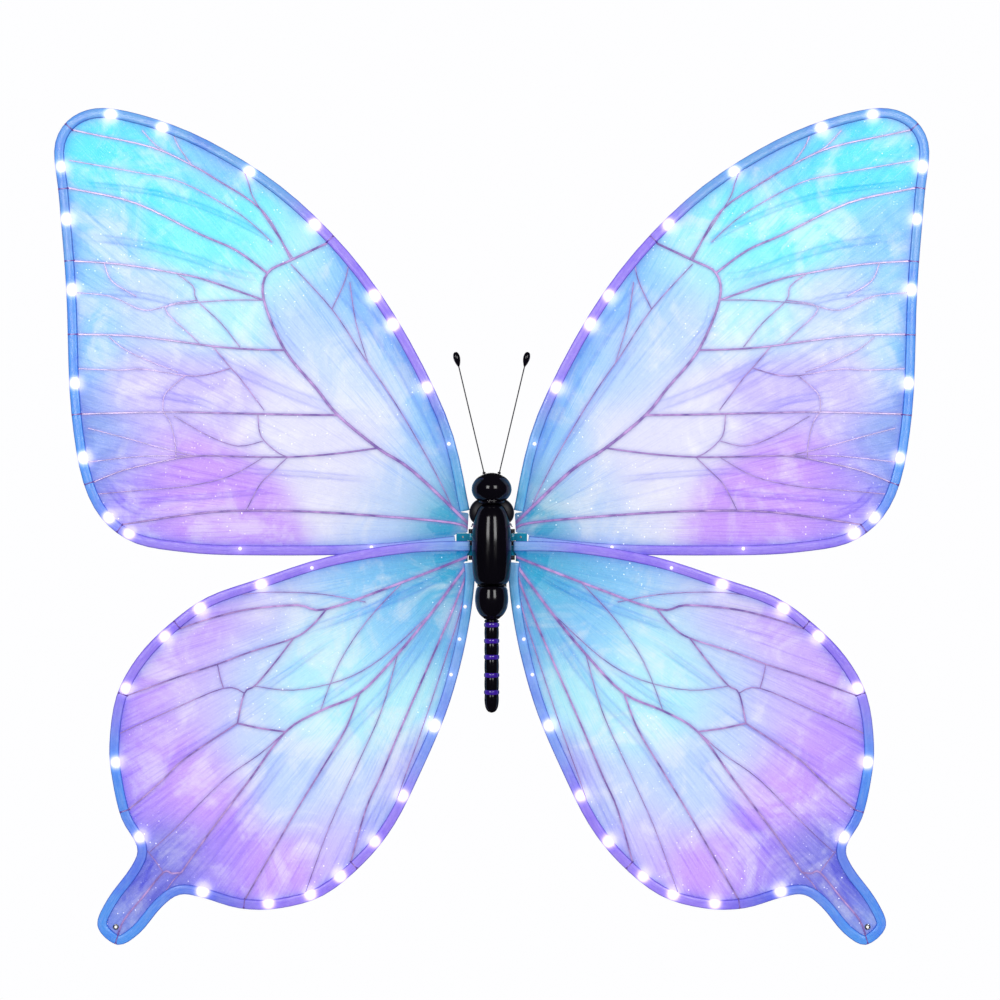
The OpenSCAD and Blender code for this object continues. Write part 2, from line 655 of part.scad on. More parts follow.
// Knuckles on the pin, with a spine behind the wing roots
module wing_bracket(side) {
    color(plastic_black) on_side(side) difference() {
        union() {
            for (span = KNUCKLE_SPANS) {
                translate([hinge_x, hinge_y, span[0]]) cylinder(r = barrel_r, h = span[1] - span[0]);
                translate([hinge_x, spine_low, span[0]]) cube([5, spine_high - spine_low, span[1] - span[0]]);
            }
            translate([24, spine_low, -21.4]) cube([11.4, spine_high - spine_low, 28]);
            translate([24, foot_low, -21.4]) cube([9.6, spine_low - foot_low, 9.8]);
        }
        for (span = KNUCKLE_SPANS)
            translate([hinge_x, hinge_y, span[0] - 1])
                cylinder(r = pin_d / 2 + 0.05, h = span[1] - span[0] + 2);
        for (z = FORE_RIVET_Z) rod_y(FORE_RIVET_X, z, rivet_r, spine_low - 1, spine_high + 1);
        for (x = HIND_RIVET_X) rod_y(x, HIND_RIVET_Z, rivet_r, foot_low - 1, spine_high + 1);
    }
}

module wing_rivets(side) {
    fore_back = spine_high + fore_gusset_t;
    color(steel) on_side(side) {
        for (z = FORE_RIVET_Z) {
            rod_y(FORE_RIVET_X, z, rivet_r, spine_low, fore_back);
            rod_y(FORE_RIVET_X, z, rivet_head_r, fore_back, fore_back + rivet_head_t);
        }
        for (x = HIND_RIVET_X) {
            rod_y(x, HIND_RIVET_Z, rivet_r, hind_mid_y + film_t / 2, spine_high);
            rod_y(x, HIND_RIVET_Z, rivet_head_r, spine_high, spine_high + rivet_head_t);
        }
    }
}

// Stiff clear plates on the backs of the films that spread the root of each wing
module wing_gussets(side) {
    color(teal, 0.6) on_side(side) difference() {
        union() {
            slab(spine_high, spine_high + fore_gusset_t)
                polygon([[24, -5], [34.5, -5], [34.8, 6.2], [56, 4.2], [66, 14], [60, 30], [46, 36], [35, 27],
                    [34, 14], [24, 6]]);
            slab(hind_mid_y + film_t / 2, foot_low)
                polygon([[25, -12.2], [58, -14.2], [54, -34], [42, -50], [31, -48], [29, -23], [25, -20.5]]);
        }
        for (z = FORE_RIVET_Z) rod_y(FORE_RIVET_X, z, rivet_r, fore_mid_y, fore_mid_y + 3);
        for (x = HIND_RIVET_X) rod_y(x, HIND_RIVET_Z, rivet_r, hind_mid_y, hind_mid_y + 3);
    }
}

// ---- Wings ----

EYELET = [375.5, -386.5];

module fore_film(side) {
    color(film_blue, 0.5) on_side(side)
        slab(fore_mid_y - film_t / 2, fore_mid_y + film_t / 2) polygon(fore_film_shape);
}

module fore_sleeve(side) {
    color(sleeve_blue, 0.5) on_side(side) edge_sleeve(fore_curve, fore_mid_y);
}

module fore_spars(side) {
    color(vein_purple) on_side(side) main_web(FORE_SPARS, fore_film_shape, fore_mid_y);
}

module fore_veins(side) {
    color(vein_purple) on_side(side) fine_web(FORE_VEINS, FORE_SPARS, fore_film_shape, fore_mid_y);
}

module fore_lights(side) {
    color(light_warm) on_side(side) light_string(FORE_EDGE, fore_curve, FORE_LIGHTS, fore_mid_y);
}

module hind_film(side) {
    color(film_blue, 0.5) on_side(side) difference() {
        slab(hind_mid_y - film_t / 2, hind_mid_y + film_t / 2) polygon(hind_film_shape);
        rod_y(EYELET[0], EYELET[1], 2.2, hind_mid_y - 1, hind_mid_y + 1);
    }
}

module hind_sleeve(side) {
    color(sleeve_blue, 0.5) on_side(side) edge_sleeve(hind_curve, hind_mid_y);
}

module hind_spars(side) {
    color(vein_purple) on_side(side) main_web(HIND_SPARS, hind_film_shape, hind_mid_y);
}

module hind_veins(side) {
    color(vein_purple) on_side(side) fine_web(HIND_VEINS, HIND_SPARS, hind_film_shape, hind_mid_y);
}

module hind_lights(side) {
    color(light_warm) on_side(side) light_string(HIND_EDGE, hind_curve, HIND_LIGHTS, hind_mid_y);
}

// A small turned ring clamped through the film of the tail
module tail_eyelet(side) {
    half = film_t / 2;
    color(steel) on_side(side) translate([EYELET[0], hind_mid_y, EYELET[1]]) rotate([90, 0, 0])
        rotate_extrude() polygon([[1.5, -0.9], [2.8, -0.9], [3, -0.6], [3, -half], [2.2, -half], [2.2, half],
            [3, half], [3, 0.6], [2.8, 0.9], [1.5, 0.9]]);
}

// ---- Wires from the battery box to the wing roots ----

LEAD_ROUTE = [[11, -34.6, 27], [11.4, -37.2, 26.6], [13, -40, 24.4], [15.6, -42.4, 20.6],
    [18.6, -43.9, 16.4], [20.4, -44.4, 13.2]];
LEAD_SIDES = 8;
lead_r = 0.9;

// A ring of points round a route at one of its points
function ring(route, i, r, sides) =
    let (
        d = route[min(i + 1, len(route) - 1)] - route[max(i - 1, 0)],
        u = cross(d, [0, 0, 1]) / norm(cross(d, [0, 0, 1])),
        v = cross(u, d) / norm(d)
    )
    [for (k = [0 : sides - 1]) route[i] + r * (cos(360 * k / sides) * u + sin(360 * k / sides) * v)];

module tube(route, r, sides) {
    n = len(route);
    rings = [for (i = [0 : n - 1]) each ring(route, i, r, sides)];
    walls = [for (i = [0 : n - 2]) for (k = [0 : sides - 1])
        [i * sides + k, i * sides + (k + 1) % sides, (i + 1) * sides + (k + 1) % sides, (i + 1) * sides + k]];
    ends = [[for (k = [sides - 1 : -1 : 0]) k], [for (k = [0 : sides - 1]) (n - 1) * sides + k]];
    polyhedron(rings, concat(walls, ends));
}

module lead_wires() {
    color("#2b2340") for (sx = [-1, 1])
        mirror([sx < 0 ? 1 : 0, 0, 0]) tube(LEAD_ROUTE, lead_r, LEAD_SIDES);
}

back_pad();
harness_plate();
harness_screws();
strap(1);  // right_strap
strap(-1);  // left_strap
adjuster(1);  // right_adjuster
adjuster(-1);  // left_adjuster
battery_box();
battery_door();
door_pin();
battery_cells();
battery_contacts();
circuit_board();
power_button();
chassis();
chassis_screws();
thorax_shell();
collar();
head();
abdomen();
tail();
tail_bands();
antenna_wire(1);  // right_antenna_wire
antenna_tip(1);  // right_antenna_tip
antenna_wire(-1);  // left_antenna_wire
antenna_tip(-1);  // left_antenna_tip
hinge_pin(1);  // right_hinge_pin
hinge_pin(-1);  // left_hinge_pin
hinge_washers();
lead_wires();
wing_bracket(1);  // right_wing_bracket
wing_rivets(1);  // right_wing_rivets
wing_gussets(1);  // right_wing_gussets
fore_film(1);  // right_fore_film
fore_sleeve(1);  // right_fore_sleeve
fore_spars(1);  // right_fore_spars
fore_veins(1);  // right_fore_veins
fore_lights(1);  // right_fore_lights
hind_film(1);  // right_hind_film
hind_sleeve(1);  // right_hind_sleeve
hind_spars(1);  // right_hind_spars
hind_veins(1);  // right_hind_veins
hind_lights(1);  // right_hind_lights
tail_eyelet(1);  // right_tail_eyelet
wing_bracket(-1);  // left_wing_bracket
wing_rivets(-1);  // left_wing_rivets
wing_gussets(-1);  // left_wing_gussets
fore_film(-1);  // left_fore_film
fore_sleeve(-1);  // left_fore_sleeve
fore_spars(-1);  // left_fore_spars
fore_veins(-1);  // left_fore_veins
fore_lights(-1);  // left_fore_lights
hind_film(-1);  // left_hind_film
hind_sleeve(-1);  // left_hind_sleeve
hind_spars(-1);  // left_hind_spars
hind_veins(-1);  // left_hind_veins
hind_lights(-1);  // left_hind_lights
tail_eyelet(-1);  // left_tail_eyelet
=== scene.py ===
import math
import random

import bmesh
import bpy
import numpy as np
from mathutils import Matrix, Vector, noise
from mathutils.bvhtree import BVHTree
from mathutils.geometry import delaunay_2d_cdt


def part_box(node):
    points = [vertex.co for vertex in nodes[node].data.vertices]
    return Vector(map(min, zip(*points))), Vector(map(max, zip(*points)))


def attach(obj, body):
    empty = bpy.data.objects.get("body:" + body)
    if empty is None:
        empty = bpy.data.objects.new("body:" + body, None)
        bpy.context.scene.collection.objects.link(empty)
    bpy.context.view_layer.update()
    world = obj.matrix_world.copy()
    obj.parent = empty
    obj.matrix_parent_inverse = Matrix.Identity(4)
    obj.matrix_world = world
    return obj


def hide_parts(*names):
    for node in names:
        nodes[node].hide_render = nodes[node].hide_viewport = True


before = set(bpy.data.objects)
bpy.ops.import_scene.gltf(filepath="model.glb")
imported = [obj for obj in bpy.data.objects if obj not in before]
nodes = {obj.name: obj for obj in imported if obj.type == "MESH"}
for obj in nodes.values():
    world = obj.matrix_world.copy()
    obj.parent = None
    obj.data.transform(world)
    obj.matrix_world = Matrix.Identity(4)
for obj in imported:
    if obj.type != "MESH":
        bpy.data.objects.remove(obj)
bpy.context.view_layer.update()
MM = 0.001
rng = random.Random(11)
SIDES = (("right", 1), ("left", -1))
CLOTH_FRAMES = 20
# Lengths and places in metres
EYE = (0.0083, -2.825, 0.040)
FLOOR_Z, FLOOR_R = -0.62, 0.78
FILM_STEP = 0.0026  # spacing of the film's mesh
SLEEVE_STEP = 0.0031
FILM_GLOW = 0.009  # reach of a lamp's light on the film
SLEEVE_GLOW = 0.0058  # reach of a lamp's light in the sleeve
DOME_R = 0.0019
LAMP_WIRE_R = 0.00026
LEAD_R = 0.0004
STITCH_R = 0.00022
PIPING_R = 0.00095
VEIN_ENDS_FROM = 0.045  # no vein ends nearer the middle than this
PAD_PUFF = 0.0022  # the most that the cloth run may move the pad
FLOW_ROOT = {"fore": (0.018, 0.012), "hind": (0.018, -0.016)}  # where the streaks start, as (x, z)
# Upright axes as (x, y) in mm
BODY_AXIS = (0, -62)
TAIL_AXIS = (0, -64)


# ---------------------------------------------------------------- camera, light, floor
def make_stage():
    scene = bpy.context.scene
    scene.view_settings.view_transform = "Standard"
    scene.view_settings.look = "None"
    scene.view_settings.exposure = 0
    scene.view_settings.gamma = 1
    cam = bpy.data.cameras.new("camera")
    cam.lens, cam.sensor_width = 100, 36
    eye = bpy.data.objects.new("camera", cam)
    eye.location = EYE
    eye.rotation_euler = (math.radians(90), 0, 0)
    scene.collection.objects.link(eye)
    scene.camera = eye

    world = bpy.data.worlds.new("soft_room")
    scene.world = world
    world.use_nodes = True
    nt = world.node_tree
    back = nt.nodes["Background"]
    back.inputs["Color"].default_value = (0.99, 0.99, 1.0, 1)
    path = nt.nodes.new("ShaderNodeLightPath")
    level = nt.nodes.new("ShaderNodeMapRange")
    level.inputs["To Min"].default_value = 0.40
    level.inputs["To Max"].default_value = 1.0
    gloss = nt.nodes.new("ShaderNodeMath")
    gloss.operation = "MULTIPLY_ADD"
    gloss.inputs[1].default_value = -0.38
    nt.links.new(path.outputs["Is Camera Ray"], level.inputs["Value"])
    nt.links.new(path.outputs["Is Glossy Ray"], gloss.inputs[0])
    nt.links.new(level.outputs["Result"], gloss.inputs[2])
    nt.links.new(gloss.outputs[0], back.inputs["Strength"])

    def area(name, place, w, h, power, shown=False):
        data = bpy.data.lights.new(name, "AREA")
        data.shape = "RECTANGLE"
        data.size, data.size_y, data.energy = w, h, power
        lamp = bpy.data.objects.new(name, data)
        lamp.location = place
        lamp.rotation_euler = (-Vector(place)).to_track_quat("-Z", "Y").to_euler()
        lamp.visible_glossy = shown
        scene.collection.objects.link(lamp)

    area("front_left", (-0.82, -2.1, 0.55), 0.6, 1.0, 16, True)
    area("front_right", (0.82, -2.1, 0.55), 0.6, 1.0, 16, True)
    area("top", (0, -0.5, 2.2), 1.8, 1.4, 10)
    area("back", (0, 2.2, 0.7), 1.6, 1.4, 13, True)
    area("side_left", (-1.9, -0.3, 0.2), 0.4, 1.4, 4)
    area("side_right", (1.9, -0.3, 0.2), 0.4, 1.4, 4)

    bm = bmesh.new()
    bmesh.ops.create_circle(bm, cap_ends=True, radius=FLOOR_R, segments=128)
    mesh = bpy.data.meshes.new("floor")
    bm.to_mesh(mesh)
    bm.free()
    floor = bpy.data.objects.new("floor", mesh)
    floor.location = (0, 0, FLOOR_Z)
    floor.visible_glossy = False
    scene.collection.objects.link(floor)
    m = Mat("floor_paper", rough=0.85)
    m.color(m.mix(m.noise(6, 3), (0.86, 0.86, 0.87), (0.9, 0.9, 0.91)))
    mesh.materials.append(m.m)


# ---------------------------------------------------------------- node materials
class Mat:
    """A node material. Uniform values sit on the shader's own sockets."""

    def __init__(self, name, rough=0.5, metal=0.0, coat=0.0, coat_rough=0.05, specular=0.5, sheen=0.0):
        self.m = bpy.data.materials.new(name)
        self.m.use_nodes = True
        self.nt = self.m.node_tree
        self.b = self.nt.nodes["Principled BSDF"]
        for key, value in (("Roughness", rough), ("Metallic", metal), ("Coat Weight", coat),
                           ("Coat Roughness", coat_rough), ("Specular IOR Level", specular),
                           ("Sheen Weight", sheen)):
            self.b.inputs[key].default_value = value
        self.place = self.new("ShaderNodeTexCoord").outputs["Object"]

    def new(self, kind, **props):
        n = self.nt.nodes.new(kind)
        for k, v in props.items():
            setattr(n, k, v)
        return n

    def put(self, socket, value):
        if isinstance(value, (int, float)):
            socket.default_value = value
        elif isinstance(value, tuple):
            socket.default_value = (*value, 1) if len(value) == 3 and socket.type == "RGBA" else value
        else:
            self.nt.links.new(value, socket)

    def attr(self, name, out="Fac"):
        return self.new("ShaderNodeAttribute", attribute_name=name).outputs[out]

    def scaled(self, vec, scale, turn=(0, 0, 0)):
        n = self.new("ShaderNodeMapping")
        self.put(n.inputs["Vector"], vec)
        n.inputs["Scale"].default_value = scale
        n.inputs["Rotation"].default_value = turn
        return n.outputs["Vector"]

    def noise(self, scale, detail=2, rough=0.5, vec=None, twist=0.0):
        n = self.new("ShaderNodeTexNoise")
        self.put(n.inputs["Vector"], vec or self.place)
        n.inputs["Scale"].default_value = scale
        n.inputs["Detail"].default_value = detail
        n.inputs["Roughness"].default_value = rough
        n.inputs["Distortion"].default_value = twist
        return n.outputs["Fac"]

    def cells(self, scale, vec=None, feature="F1", out="Distance"):
        n = self.new("ShaderNodeTexVoronoi", feature=feature)
        self.put(n.inputs["Vector"], vec or self.place)
        n.inputs["Scale"].default_value = scale
        return n.outputs[out]

    def wave(self, scale, vec, direction="X", distortion=0.0):
        n = self.new("ShaderNodeTexWave", bands_direction=direction)
        self.put(n.inputs["Vector"], vec)
        n.inputs["Scale"].default_value = scale
        n.inputs["Distortion"].default_value = distortion
        return n.outputs["Fac"]

    def math(self, op, a, b=0.0, c=None):
        n = self.new("ShaderNodeMath", operation=op)
        self.put(n.inputs[0], a)
        self.put(n.inputs[1], b)
        if c is not None:
            self.put(n.inputs[2], c)
        return n.outputs[0]

    def span(self, value, low, high, to_low=0.0, to_high=1.0, smooth=False):
        n = self.new("ShaderNodeMapRange", clamp=True)
        if smooth:
            n.interpolation_type = "SMOOTHSTEP"
        self.put(n.inputs["Value"], value)
        for key, v in (("From Min", low), ("From Max", high), ("To Min", to_low), ("To Max", to_high)):
            n.inputs[key].default_value = v
        return n.outputs["Result"]

    def mix(self, fac, a, b, how="MIX"):
        n = self.new("ShaderNodeMix", data_type="RGBA", blend_type=how)
        n.clamp_result = how != "ADD"
        self.put(n.inputs["Factor"], fac)
        self.put(n.inputs[6], a)
        self.put(n.inputs[7], b)
        return n.outputs[2]

    def deepen(self, fac, base, by):
        return self.mix(fac, base, self.mix(1.0, base, by, "MULTIPLY"))

    def bump(self, height, strength, distance, normal=None):
        n = self.new("ShaderNodeBump")
        n.inputs["Strength"].default_value = strength
        n.inputs["Distance"].default_value = distance
        self.put(n.inputs["Height"], height)
        if normal is not None:
            self.put(n.inputs["Normal"], normal)
        return n.outputs["Normal"]

    def color(self, v):
        self.put(self.b.inputs["Base Color"], v)

    def rough(self, v):
        self.put(self.b.inputs["Roughness"], v)

    def wear(self, scale, detail, low, high):
        """Roughness that drifts between low and high."""
        self.rough(self.span(self.noise(scale, detail), 0.3, 0.7, low, high))

    def normal(self, v):
        self.put(self.b.inputs["Normal"], v)

    def glow(self, color, strength):
        self.put(self.b.inputs["Emission Color"], color)
        self.put(self.b.inputs["Emission Strength"], strength)

    def alpha(self, v):
        self.put(self.b.inputs["Alpha"], v)


def srgb(r, g, b):
    return tuple(c / 12.92 if c <= 0.04045 else ((c + 0.055) / 1.055) ** 2.4 for c in (r, g, b))


# Name: shader values; noise, dark and light colour; noise, strength and depth of the bumps; and
# scale, detail and the two ends of the roughness where it varies
PLAIN = {
    "black_gloss": (dict(rough=0.1, coat=0.5, coat_rough=0.1, specular=0.25),
                    (14, 3), (0.001, 0.001, 0.002), (0.004, 0.003, 0.006),
                    (160, 3), 0.06, 0.0006, (60, 4, 0.07, 0.17)),
    "black_satin": (dict(rough=0.4, specular=0.35),
                    (14, 3), (0.002, 0.002, 0.004), (0.007, 0.005, 0.011),
                    (200, 3), 0.08, 0.0005, (80, 4, 0.34, 0.5)),
    "violet_gloss": (dict(rough=0.15, coat=0.9),
                     (90, 4, 0.7), srgb(0.08, 0.03, 0.25), srgb(0.3, 0.12, 0.75),
                     (240, 2), 0.1, 0.0005, (90, 3, 0.12, 0.28)),
    "antenna_wire": (dict(rough=0.35, metal=0.6),
                     (300, 2), (0.012, 0.012, 0.016), (0.04, 0.04, 0.05),
                     (900, 2), 0.2, 0.0002, None),
    "stitch": (dict(rough=0.6, sheen=0.2),
               (900, 2), (0.11, 0.09, 0.17), (0.22, 0.18, 0.32),
               (2600, 2), 0.4, 0.0002, None),
    "wire": (dict(rough=0.38, coat=0.3),
             (120, 2), srgb(0.14, 0.10, 0.24), srgb(0.30, 0.22, 0.46),
             (700, 2), 0.15, 0.0002, None),
    "light_wire": (dict(rough=0.25, metal=0.7),
                   (500, 2), srgb(0.35, 0.28, 0.70), srgb(0.75, 0.70, 0.95),
                   (1500, 1), 0.2, 0.0002, None)}


def make_materials():
    made = {}
    for name, (values, patch, dark, light, bumps, strength, depth, wear) in PLAIN.items():
        m = made[name] = Mat(name, **values)
        m.color(m.mix(m.noise(*patch), dark, light))
        m.normal(m.bump(m.noise(*bumps), strength, depth))
        if wear:
            m.wear(*wear)
    made["black_gloss"].b.inputs["Coat IOR"].default_value = 1.3

    m = Mat("teal_plastic", rough=0.15, coat=0.8)
    swirl = m.noise(60, 4, 0.6, twist=0.8)
    m.color(m.mix(swirl, srgb(0.0, 0.35, 0.5), srgb(0.1, 0.65, 0.8)))
    m.wear(120, 3, 0.1, 0.25)
    m.normal(m.bump(swirl, 0.3, 0.0008))
    made["teal_plastic"] = m

    m = Mat("black_plastic", rough=0.42)
    m.color(m.mix(m.noise(25, 4), (0.010, 0.009, 0.013), (0.022, 0.020, 0.027)))
    m.rough(m.span(m.noise(70, 4), 0.25, 0.75, 0.36, 0.55))
    m.normal(m.bump(m.noise(1500, 2, 0.6), 0.25, 0.0003))
    made["black_plastic"] = m

    m = Mat("steel", rough=0.25, metal=1.0)
    m.color(m.mix(m.noise(50, 4), (0.55, 0.56, 0.60), (0.74, 0.75, 0.78)))
    lines = m.noise(700, 2, 0.5, m.scaled(m.place, (1, 1, 0.05)))
    m.rough(m.span(lines, 0.3, 0.7, 0.18, 0.36))
    m.normal(m.bump(lines, 0.12, 0.0002))
    made["steel"] = m

    m = Mat("foam_fabric", rough=0.85, sheen=0.35)
    m.b.inputs["Sheen Roughness"].default_value = 0.5
    mesh_cells = m.cells(520)
    fuzz = m.noise(1800, 2)
    shade = m.mix(m.span(mesh_cells, 0.15, 0.6), (0.030, 0.029, 0.036), (0.008, 0.008, 0.011))
    m.color(m.mix(m.span(m.noise(30, 3), 0.35, 0.7, 0, 0.5), shade, (0.05, 0.048, 0.058)))
    m.normal(m.bump(fuzz, 0.25, 0.0002, m.bump(mesh_cells, 0.9, 0.0006)))
    m.rough(m.span(mesh_cells, 0, 0.6, 0.75, 0.95))
    made["foam"] = m

    m = Mat("binding", rough=0.7, sheen=0.3)
    ribs = m.wave(900, m.place, "DIAGONAL")
    m.color(m.mix(ribs, (0.008, 0.008, 0.011), (0.03, 0.029, 0.036)))
    m.normal(m.bump(ribs, 0.5, 0.0003))
    made["binding"] = m

    m = Mat("elastic", rough=0.72, sheen=0.25)
    weave = m.attr("weave", "Vector")
    ribs = m.wave(5.2, m.scaled(weave, (0.0, 60, 0)), "Y")
    cross = m.wave(4.0, m.scaled(weave, (95, 14, 0)), "X", 0.8)
    both = m.math("MULTIPLY", ribs, m.span(cross, 0, 1, 0.55, 1))
    edge = m.attr("edge")
    base = m.mix(both, (0.006, 0.006, 0.009), (0.045, 0.044, 0.054))
    m.color(m.mix(m.span(m.noise(60, 3), 0.45, 0.8, 0, 0.4), base, (0.07, 0.068, 0.08)))
    m.normal(m.bump(both, 0.7, 0.0004))
    m.rough(m.span(edge, 0.8, 1.0, 0.72, 0.55))
    made["elastic"] = m

    m = Mat("cell_jacket", rough=0.3, coat=0.6)
    z = m.new("ShaderNodeSeparateXYZ")
    m.put(z.inputs[0], m.place)
    band = m.span(z.outputs["Z"], -0.030, -0.0285)
    m.color(m.mix(band, srgb(0.82, 0.83, 0.86), srgb(0.30, 0.36, 0.80)))
    m.wear(80, 3, 0.25, 0.4)
    made["cell_jacket"] = m

    m = Mat("circuit_board", rough=0.4, coat=0.3)
    trace = m.cells(260, m.scaled(m.place, (1, 1, 1.6)), "DISTANCE_TO_EDGE")
    m.color(m.mix(m.span(trace, 0.05, 0.09), srgb(0.25, 0.62, 0.42), srgb(0.05, 0.30, 0.20)))
    m.normal(m.bump(trace, 0.3, 0.0002))
    made["circuit_board"] = m

    m = Mat("gusset", rough=0.12, coat=0.8, specular=0.6)
    swirl = m.noise(55, 5, 0.6, twist=1.2)
    m.color(m.mix(swirl, srgb(0.02, 0.52, 0.66), srgb(0.20, 0.80, 0.90)))
    # Painted glow: the gusset glows faintly in teal.
    m.glow(m.mix(swirl, srgb(0.05, 0.60, 0.75), srgb(0.3, 0.85, 0.95)), 0.12)
    m.alpha(m.span(swirl, 0.3, 0.7, 0.35, 0.6))
    m.normal(m.bump(swirl, 0.5, 0.0012))
    made["gusset"] = m

    made["vein"] = vein_material()
    made["film"] = film_material()
    made["sleeve"] = sleeve_material()

    m = Mat("light_dome", rough=0.1, coat=1.0)
    m.color(m.mix(m.noise(200, 1), (0.95, 0.9, 1.0), (1, 1, 1)))
    lit = m.attr("lit")
    m.glow(m.mix(m.noise(300, 1), (1.0, 0.90, 1.0), (1, 0.97, 1)), m.math("MULTIPLY", lit, 3.0))
    made["light_dome"] = m

    return made


def vein_material():
    """Glossy violet, with a painted highlight: lighter on the faces turned to the front or back than on the
    sides.
    """
    m = Mat("vein", rough=0.2, coat=0.8, coat_rough=0.06)
    parts = m.new("ShaderNodeSeparateXYZ")
    m.put(parts.inputs[0], m.new("ShaderNodeTexCoord").outputs["Normal"])
    face = m.math("ABSOLUTE", parts.outputs["Y"])
    patch = m.noise(22, 4, 0.6)
    dark = m.mix(patch, srgb(0.3, 0.18, 0.55), srgb(0.45, 0.3, 0.7))
    light = m.mix(m.span(m.noise(70, 3), 0.35, 0.65), srgb(0.5, 0.4, 0.7), srgb(0.8, 0.65, 0.9))
    # Painted highlight: faces turned to the front or back take the lighter colour, the sides the darker one.
    body = m.mix(m.span(face, 0.96, 1.0, smooth=True), dark, light)
    m.color(body)
    # Painted glow: the veins glow faintly in their own colour.
    m.glow(body, 0.02)
    m.wear(150, 3, 0.14, 0.3)
    m.normal(m.bump(m.noise(420, 3), 0.35, 0.0004))
    return m


def film_material():
    """Pearly printed film: tint, streaks out from the root, wrinkles, glitter with painted glints, a faint
    painted glow all over, and light near each lamp.
    """
    m = Mat("wing_film", rough=0.35, coat=0.2, coat_rough=0.15, specular=0.4)
    tint = m.attr("tint", "Color")
    flow = m.attr("flow", "Vector")
    streak = m.noise(1.0, 5, 0.62, m.scaled(flow, (38, 5.0, 1)), 0.3)
    fine = m.noise(1.0, 4, 0.6, m.scaled(flow, (150, 16, 1)), 0.2)
    cloud = m.noise(17, 5, 0.6, twist=0.8)
    speck = m.noise(420, 2, 0.6)
    pale = m.mix(m.span(cloud, 0.46, 0.66, 0, 0.6, True), tint, m.mix(0.62, tint, (1, 1, 1)))
    deep = m.deepen(m.span(streak, 0.54, 0.72, 0, 0.55, True), pale, tint)
    lined = m.deepen(m.span(fine, 0.50, 0.72, 0, 0.5), deep, tint)
    frost = m.mix(m.span(fine, 0.30, 0.44, 0.12, 0, True), lined, (1, 1, 1))
    crease = m.attr("crease")
    folded = m.deepen(m.math("MULTIPLY", crease, 0.4), frost, srgb(0.52, 0.56, 0.95))
    rimmed = m.deepen(m.math("MULTIPLY", m.attr("rim"), 0.65), folded, srgb(0.45, 0.62, 0.92))
    stained = m.mix(m.math("MULTIPLY", m.attr("stain"), 0.35), rimmed, srgb(0.52, 0.44, 0.86))
    # Painted glints: scattered white dots of glitter, mixed into the colour and made to glow below.
    dots = m.cells(340)
    chance = m.new("ShaderNodeSeparateXYZ")
    m.put(chance.inputs[0], m.cells(340, out="Color"))
    painted_glint = m.math("MULTIPLY", m.span(dots, 0.10, 0.26, 1, 0), m.span(chance.outputs["X"], 0.86, 0.92))
    painted_glint = m.math("MULTIPLY", painted_glint, m.span(m.noise(9, 2), 0.46, 0.62))
    dusted = m.mix(m.span(speck, 0.6, 0.75, 0, 0.12), stained, (1, 1, 1))
    glitter = m.mix(m.span(painted_glint, 0, 1, 0, 0.85), dusted, (1, 1, 1))
    m.color(glitter)
    light = m.attr("glow")
    # Painted glow: the whole film glows faintly, the painted glints glow, and the light of each lamp is
    # painted round it.
    painted_glow = m.math("MULTIPLY_ADD", light, 0.8, m.math("MULTIPLY_ADD", painted_glint, 0.8, 0.12))
    m.glow(m.mix(m.span(light, 0.0, 0.45), glitter, srgb(0.97, 0.93, 1.0)), painted_glow)
    m.alpha(m.span(m.math("ADD", m.math("MULTIPLY", streak, 0.5), crease), 0.2, 0.9, 0.92, 0.98))
    m.wear(130, 3, 0.20, 0.42)
    ridge = m.bump(m.noise(60, 5, 0.65, m.scaled(flow, (9, 1.6, 1)), 0.6), 0.5, 0.0030)
    m.normal(m.bump(m.noise(230, 3, 0.6), 0.35, 0.0008, ridge))
    return m


def sleeve_material():
    """Clear tinted tube with dark edges of painted shade, long painted highlights, a faint painted glow all
    over and a bright place round each lamp.
    """
    m = Mat("edge_sleeve", rough=0.25, coat=0.3, coat_rough=0.12, specular=0.4)
    tint = m.attr("tint", "Color")
    edge = m.attr("edge")
    along = m.attr("flow", "Vector")
    # Painted highlights: long light streaks along the sleeve, mixed towards white.
    strand_and_highlight_streak = m.noise(1.0, 4, 0.6, m.scaled(along, (40, 900, 1)), 0.2)
    patch = m.noise(30, 4, 0.6)
    body = m.mix(m.span(strand_and_highlight_streak, 0.45, 0.75, 0, 0.3), tint, m.mix(0.4, tint, (1, 1, 1)))
    body = m.deepen(m.span(patch, 0.5, 0.75, 0, 0.45), body, srgb(0.60, 0.50, 0.98))
    # Painted shade: the colour darkens towards both edges of the tube, where a clear tube looks dark.
    rim = m.deepen(m.span(edge, 0.72, 0.97, 0, 0.8, True), body, srgb(0.5, 0.5, 0.8))
    m.color(rim)
    light = m.attr("glow")
    lit = m.mix(m.span(light, 0.0, 0.35), rim, srgb(1.0, 0.93, 1.0))
    # Painted glow: the whole sleeve glows faintly, and more in the light of each lamp.
    m.glow(lit, m.math("MULTIPLY_ADD", light, 2.0, 0.10))
    m.alpha(m.span(m.math("ADD", edge, light), 0.4, 1.0, 0.86, 1.0))
    m.wear(160, 3, 0.18, 0.34)
    m.normal(m.bump(m.noise(1.0, 4, 0.6, m.scaled(along, (60, 500, 1)), 0.5), 0.45, 0.0010))
    return m


# ---------------------------------------------------------------- mesh helpers
def new_object(name, verts, faces, material):
    mesh = bpy.data.meshes.new(name)
    mesh.from_pydata([tuple(v) for v in verts], [], faces)
    mesh.update()
    mesh.polygons.foreach_set("use_smooth", [True] * len(mesh.polygons))
    mesh.materials.append(material.m)
    obj = bpy.data.objects.new(name, mesh)
    bpy.context.scene.collection.objects.link(obj)
    return obj


def set_float(obj, name, values):
    a = obj.data.attributes.new(name, "FLOAT", "POINT")
    a.data.foreach_set("value", np.asarray(values, np.float32))


